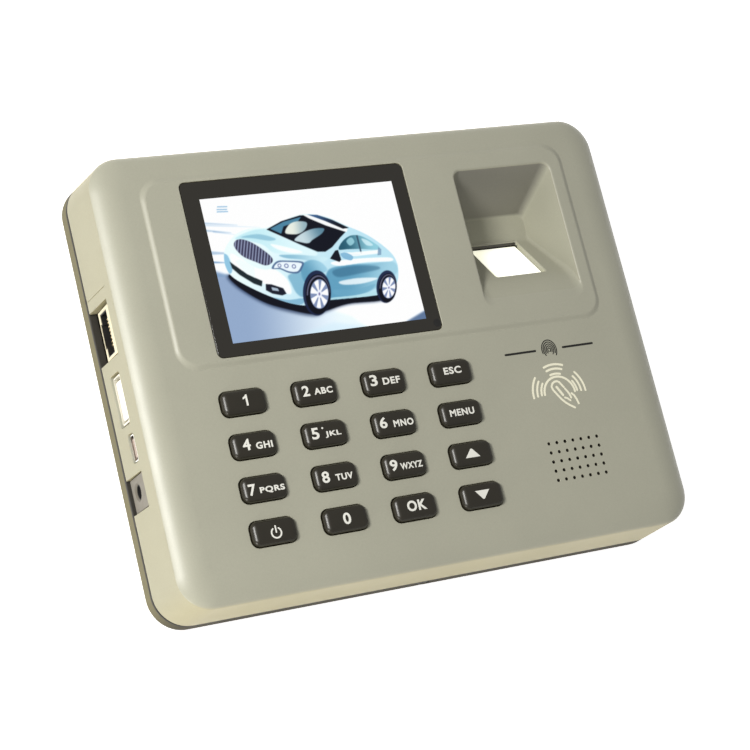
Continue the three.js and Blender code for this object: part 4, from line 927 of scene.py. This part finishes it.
for w_, pts in ((0.6, [(500, 500), (470, 452), (450, 440), (424, 441), (398, 456), (384, 482), (392, 512), (418, 553), (446, 596), (478, 632), (515, 662), (556, 688)]),
                (0.6, [(508, 514), (524, 540), (538, 566), (545, 598)]),
                (0.72, [(432, 490), (452, 525), (474, 566)]),
                (0.55, [(486, 590), (508, 600), (532, 622)]),
                (0.6, [(560, 562), (580, 584), (594, 618), (603, 658)])):
    p.add(*stroke(px_line(pts), w_, IZ0, IZ1))
icon = p.build("card_symbol", smooth=False)
dress(icon, "cream_print")
ride(icon)

# a plain black mark above the symbol: a small fingerprint between two rules
p = Parts()
MC = (45.2, -7.1)
def oval(rx, ry, a0, a1, n=24):
    return [(MC[0] + rx * math.sin(math.radians(a)), MC[1] - 0.2 + ry * math.cos(math.radians(a))) for a in np.linspace(a0, a1, n)]
for r, a0, a1 in ((0.5, -150, 165), (1.02, -140, 128), (1.54, -122, 142), (2.06, -132, 118), (2.58, -108, 128)):
    p.add(*stroke(oval(r * 0.92, r * 1.12, a0, a1), 0.3, IZ0, IZ1))
p.add(*stroke([(30.9, -7.1), (35.0, -7.1), (40.6, -7.1)], 0.62, IZ0, IZ1))
p.add(*stroke([(49.8, -7.1), (54.0, -7.1), (59.6, -7.1)], 0.62, IZ0, IZ1))
mark = p.build("reader_mark", smooth=False)
dress(mark, "black_print")
ride(mark)

# ------------------------------------------------------------------ sockets in the left wall
def yz_block(name, y0, y1, z0, z1, r, x0, x1, f=0.18, seg=5):
    """a block whose outline lies in Y-Z, with a rounded front edge at x0"""
    g = []
    for k in range(5):
        a = math.radians(90 * k / 4)
        o = f * (1 - math.sin(a))
        g.append((x0 + f * (1 - math.cos(a)), rr(y0 + o, y1 - o, z0 + o, z1 - o, max(0.05, r - o), seg)))
    g.append((x1, rr(y0, y1, z0, z1, r, seg)))
    return Parts().loft_x(g).build(name)
def yz_cut(y0, y1, z0, z1, r, x0, x1, seg=5):
    return Parts().loft_x([(x0, rr(y0, y1, z0, z1, r, seg)), (x1, rr(y0, y1, z0, z1, r, seg))]).build("k")
XF = JACK_X
# network socket: plated shell, black insert, eight sprung contacts
sh = yz_block("network_socket_shell", 9.95, 23.65, 10.6, 19.2, 0.25, XF, XF + 16.5)
sh = boolean(sh, yz_cut(10.75, 22.75, 12.0, 17.6, 0.25, XF - 1, XF + 12.7), "DIFFERENCE")
sh = boolean(sh, yz_cut(13.3, 20.2, 11.1, 12.4, 0.2, XF - 1, XF + 12.7), "DIFFERENCE")
finish_shape(sh, 35); dress(sh, "jack"); ride(sh, rep=("ethernet_jack",))
ins = yz_block("network_socket_insert", 10.8, 22.7, 12.05, 17.55, 0.2, XF + 0.12, XF + 12.6, 0.05)
ins = boolean(ins, yz_cut(11.05, 22.45, 12.3, 17.3, 0.2, XF - 1, XF + 12.0), "DIFFERENCE")
ins = boolean(ins, yz_cut(13.55, 19.95, 11.0, 12.6, 0.2, XF - 1, XF + 12.0), "DIFFERENCE")
notch = yz_block("n", 13.36, 20.14, 11.16, 12.02, 0.1, XF + 0.12, XF + 12.6, 0.05)
notch = boolean(notch, yz_cut(13.55, 19.95, 11.36, 13.0, 0.1, XF - 1, XF + 12.0), "DIFFERENCE")
ins = boolean(ins, notch, "UNION")
finish_shape(ins, 35); dress(ins, "black"); ride(ins)
c = Parts()
for k in range(8):
    y = 13.05 + k * 1.02
    q = [(XF + 0.3, 17.2), (XF + 0.3, 15.9), (XF + 1.0, 14.5), (XF + 1.35, 14.5), (XF + 0.8, 16.2), (XF + 11.4, 16.9), (XF + 11.4, 17.2)]
    n_ = len(q)
    vs = [(x, y - 0.19, z) for x, z in q] + [(x, y + 0.19, z) for x, z in q]
    c.add(vs, [tuple(range(n_)), tuple(reversed(range(n_, 2 * n_)))] + [(a, n_ + a, n_ + (a + 1) % n_, (a + 1) % n_) for a in range(n_)])
c = c.build("network_socket_contacts")
finish_shape(c, 30, weighted=False); dress(c, "gold"); ride(c, rep=("ethernet_contacts",))
# type A socket
sh = yz_block("usb_a_socket_shell", -8.3, 5.0, 11.1, 17.2, 0.9, XF, XF + 14.0, 0.2, 6)
sh = boolean(sh, yz_cut(-7.85, 4.55, 11.55, 16.75, 0.5, XF - 1, XF + 12.8), "DIFFERENCE")
finish_shape(sh, 35); dress(sh, "usb"); ride(sh, rep=("usb_a_shell",))
tg = yz_block("usb_a_socket_tongue", -6.9, 3.6, 11.85, 16.5, 0.3, XF + 0.35, XF + 12.4, 0.25)
finish_shape(tg, 35); dress(tg, "white"); ride(tg, rep=("usb_a_tongue",))
# micro socket
sh = yz_block("micro_socket_shell", -19.0, -11.7, 14.1, 17.55, 0.85, XF, XF + 6.0, 0.12, 6)
sh = boolean(sh, yz_cut(-18.65, -12.05, 14.45, 17.2, 0.55, XF - 1, XF + 5.1), "DIFFERENCE")
finish_shape(sh, 35); dress(sh, "nickel"); ride(sh, rep=("micro_usb_shell",))
tg = yz_block("micro_socket_tongue", -17.9, -12.8, 14.95, 16.35, 0.15, XF + 0.25, XF + 4.9, 0.1)
finish_shape(tg, 35); dress(tg, "tongue"); ride(tg, rep=("micro_usb_tongue",))
# power socket
sh = yz_block("power_socket_body", -31.3, -22.2, 6.8, 17.5, 0.3, XF, XF + 14.0, 0.2)
k = Parts().loft([[(x, -26.3 + q * math.cos(-2 * math.pi * i / 32), 11.4 + q * math.sin(-2 * math.pi * i / 32)) for i in range(32)][::-1] for q, x in ((2.5, XF - 1), (2.5, XF), (2.05, XF + 0.45), (2.05, XF + 10))])
sh = boolean(sh, k.build("k"), "DIFFERENCE")
finish_shape(sh, 35); dress(sh, "dcbody"); ride(sh, rep=("dc_jack",))
ln = Parts()
ro, ri = [], []
for i in range(32):
    a = 2 * math.pi * i / 32
    ro.append((2.0 * math.cos(a), 2.0 * math.sin(a)))
    ri.append((1.8 * math.cos(a), 1.8 * math.sin(a)))
v, f = ring_solid(ro, ri, 0.5, 9.8)
ln = make("power_socket_liner", [(XF + z, -26.3 + a, 11.4 + b) for a, b, z in v], f)
finish_shape(ln, 35); dress(ln, "black"); ride(ln)

# ------------------------------------------------------------------ carried-over CAD nodes
LOOK = {"wall_plate": "steel", "plate_lock_screw": "dark_screw", "lens_gasket": "foam", "lcd_frame": "tin", "lcd_backlight": "diffuser", "lcd_glass": "lcd", "lcd_ribbon": "ribbon",
        "sensor_gasket": "foam", "sensor_housing": "black", "sensor_board": "pcb", "sensor_cable": "ribbon", "keypad_mat": "rubber", "keypad_board": "pcb", "keypad_ribbon": "ribbon",
        "speaker_mesh": "black", "speaker_basket": "tin", "speaker_cone": "cone", "speaker_magnet": "magnet", "speaker_lead": "red", "antenna_board": "pcb", "main_board": "pcb",
        "processor_shield": "tin", "coin_cell_holder": "black", "coin_cell": "nickel", "dc_jack_pin": "nickel"}
for k in range(1, 5):
    LOOK["case_screw_%d" % k] = LOOK["board_screw_%d" % k] = "zinc"
for n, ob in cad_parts.items():
    if n in LOOK:
        for s in range(len(ob.material_slots)):
            ob.material_slots[s].material = M[LOOK[n]]

# ------------------------------------------------------------------ floor, light, world
fl = bpy.data.meshes.new("floor")
fl.from_pydata([(-4, -4, 0), (4, -4, 0), (4, 4, 0), (-4, 4, 0)], [], [(0, 1, 2, 3)])
floor = bpy.data.objects.new("floor", fl)
scene.collection.objects.link(floor)
m = Mat("floor_white", base=(0.92, 0.92, 0.92, 1), rough=0.9)
m.set("Specular IOR Level", 0.1)
m.set("Emission Color", (1, 1, 1, 1))
m.set("Emission Strength", 0.8)
floor.data.materials.append(m.m)

def area(name, pos, size, power, color=(1, 1, 1), target=(0, 0, 0.01)):
    L = bpy.data.lights.new(name, "AREA")
    L.shape, L.size, L.energy, L.color = "SQUARE", size, power, color
    ob = bpy.data.objects.new(name, L)
    scene.collection.objects.link(ob)
    ob.location = pos
    d = Vector(target) - Vector(pos)
    ob.rotation_euler = d.to_track_quat("-Z", "Y").to_euler()
    return ob
area("key", (-0.50, 0.085, 0.50), 0.17, 4.2, (1.0, 0.99, 0.96), (0, 0, 0.02))
area("low_fill", (-0.25, -0.22, 0.05), 0.08, 0.22, (1.0, 0.97, 0.90), (-0.04, -0.06, 0.014))
world = bpy.data.worlds.new("world")
scene.world = world
world.use_nodes = True
world.node_tree.nodes["Background"].inputs["Color"].default_value = (1.0, 1.0, 1.0, 1)
world.node_tree.nodes["Background"].inputs["Strength"].default_value = 0.38
scene.view_settings.view_transform = "Standard"
scene.view_settings.look = "None"
scene.view_settings.exposure = 0.0
scene.view_settings.gamma = 1.0
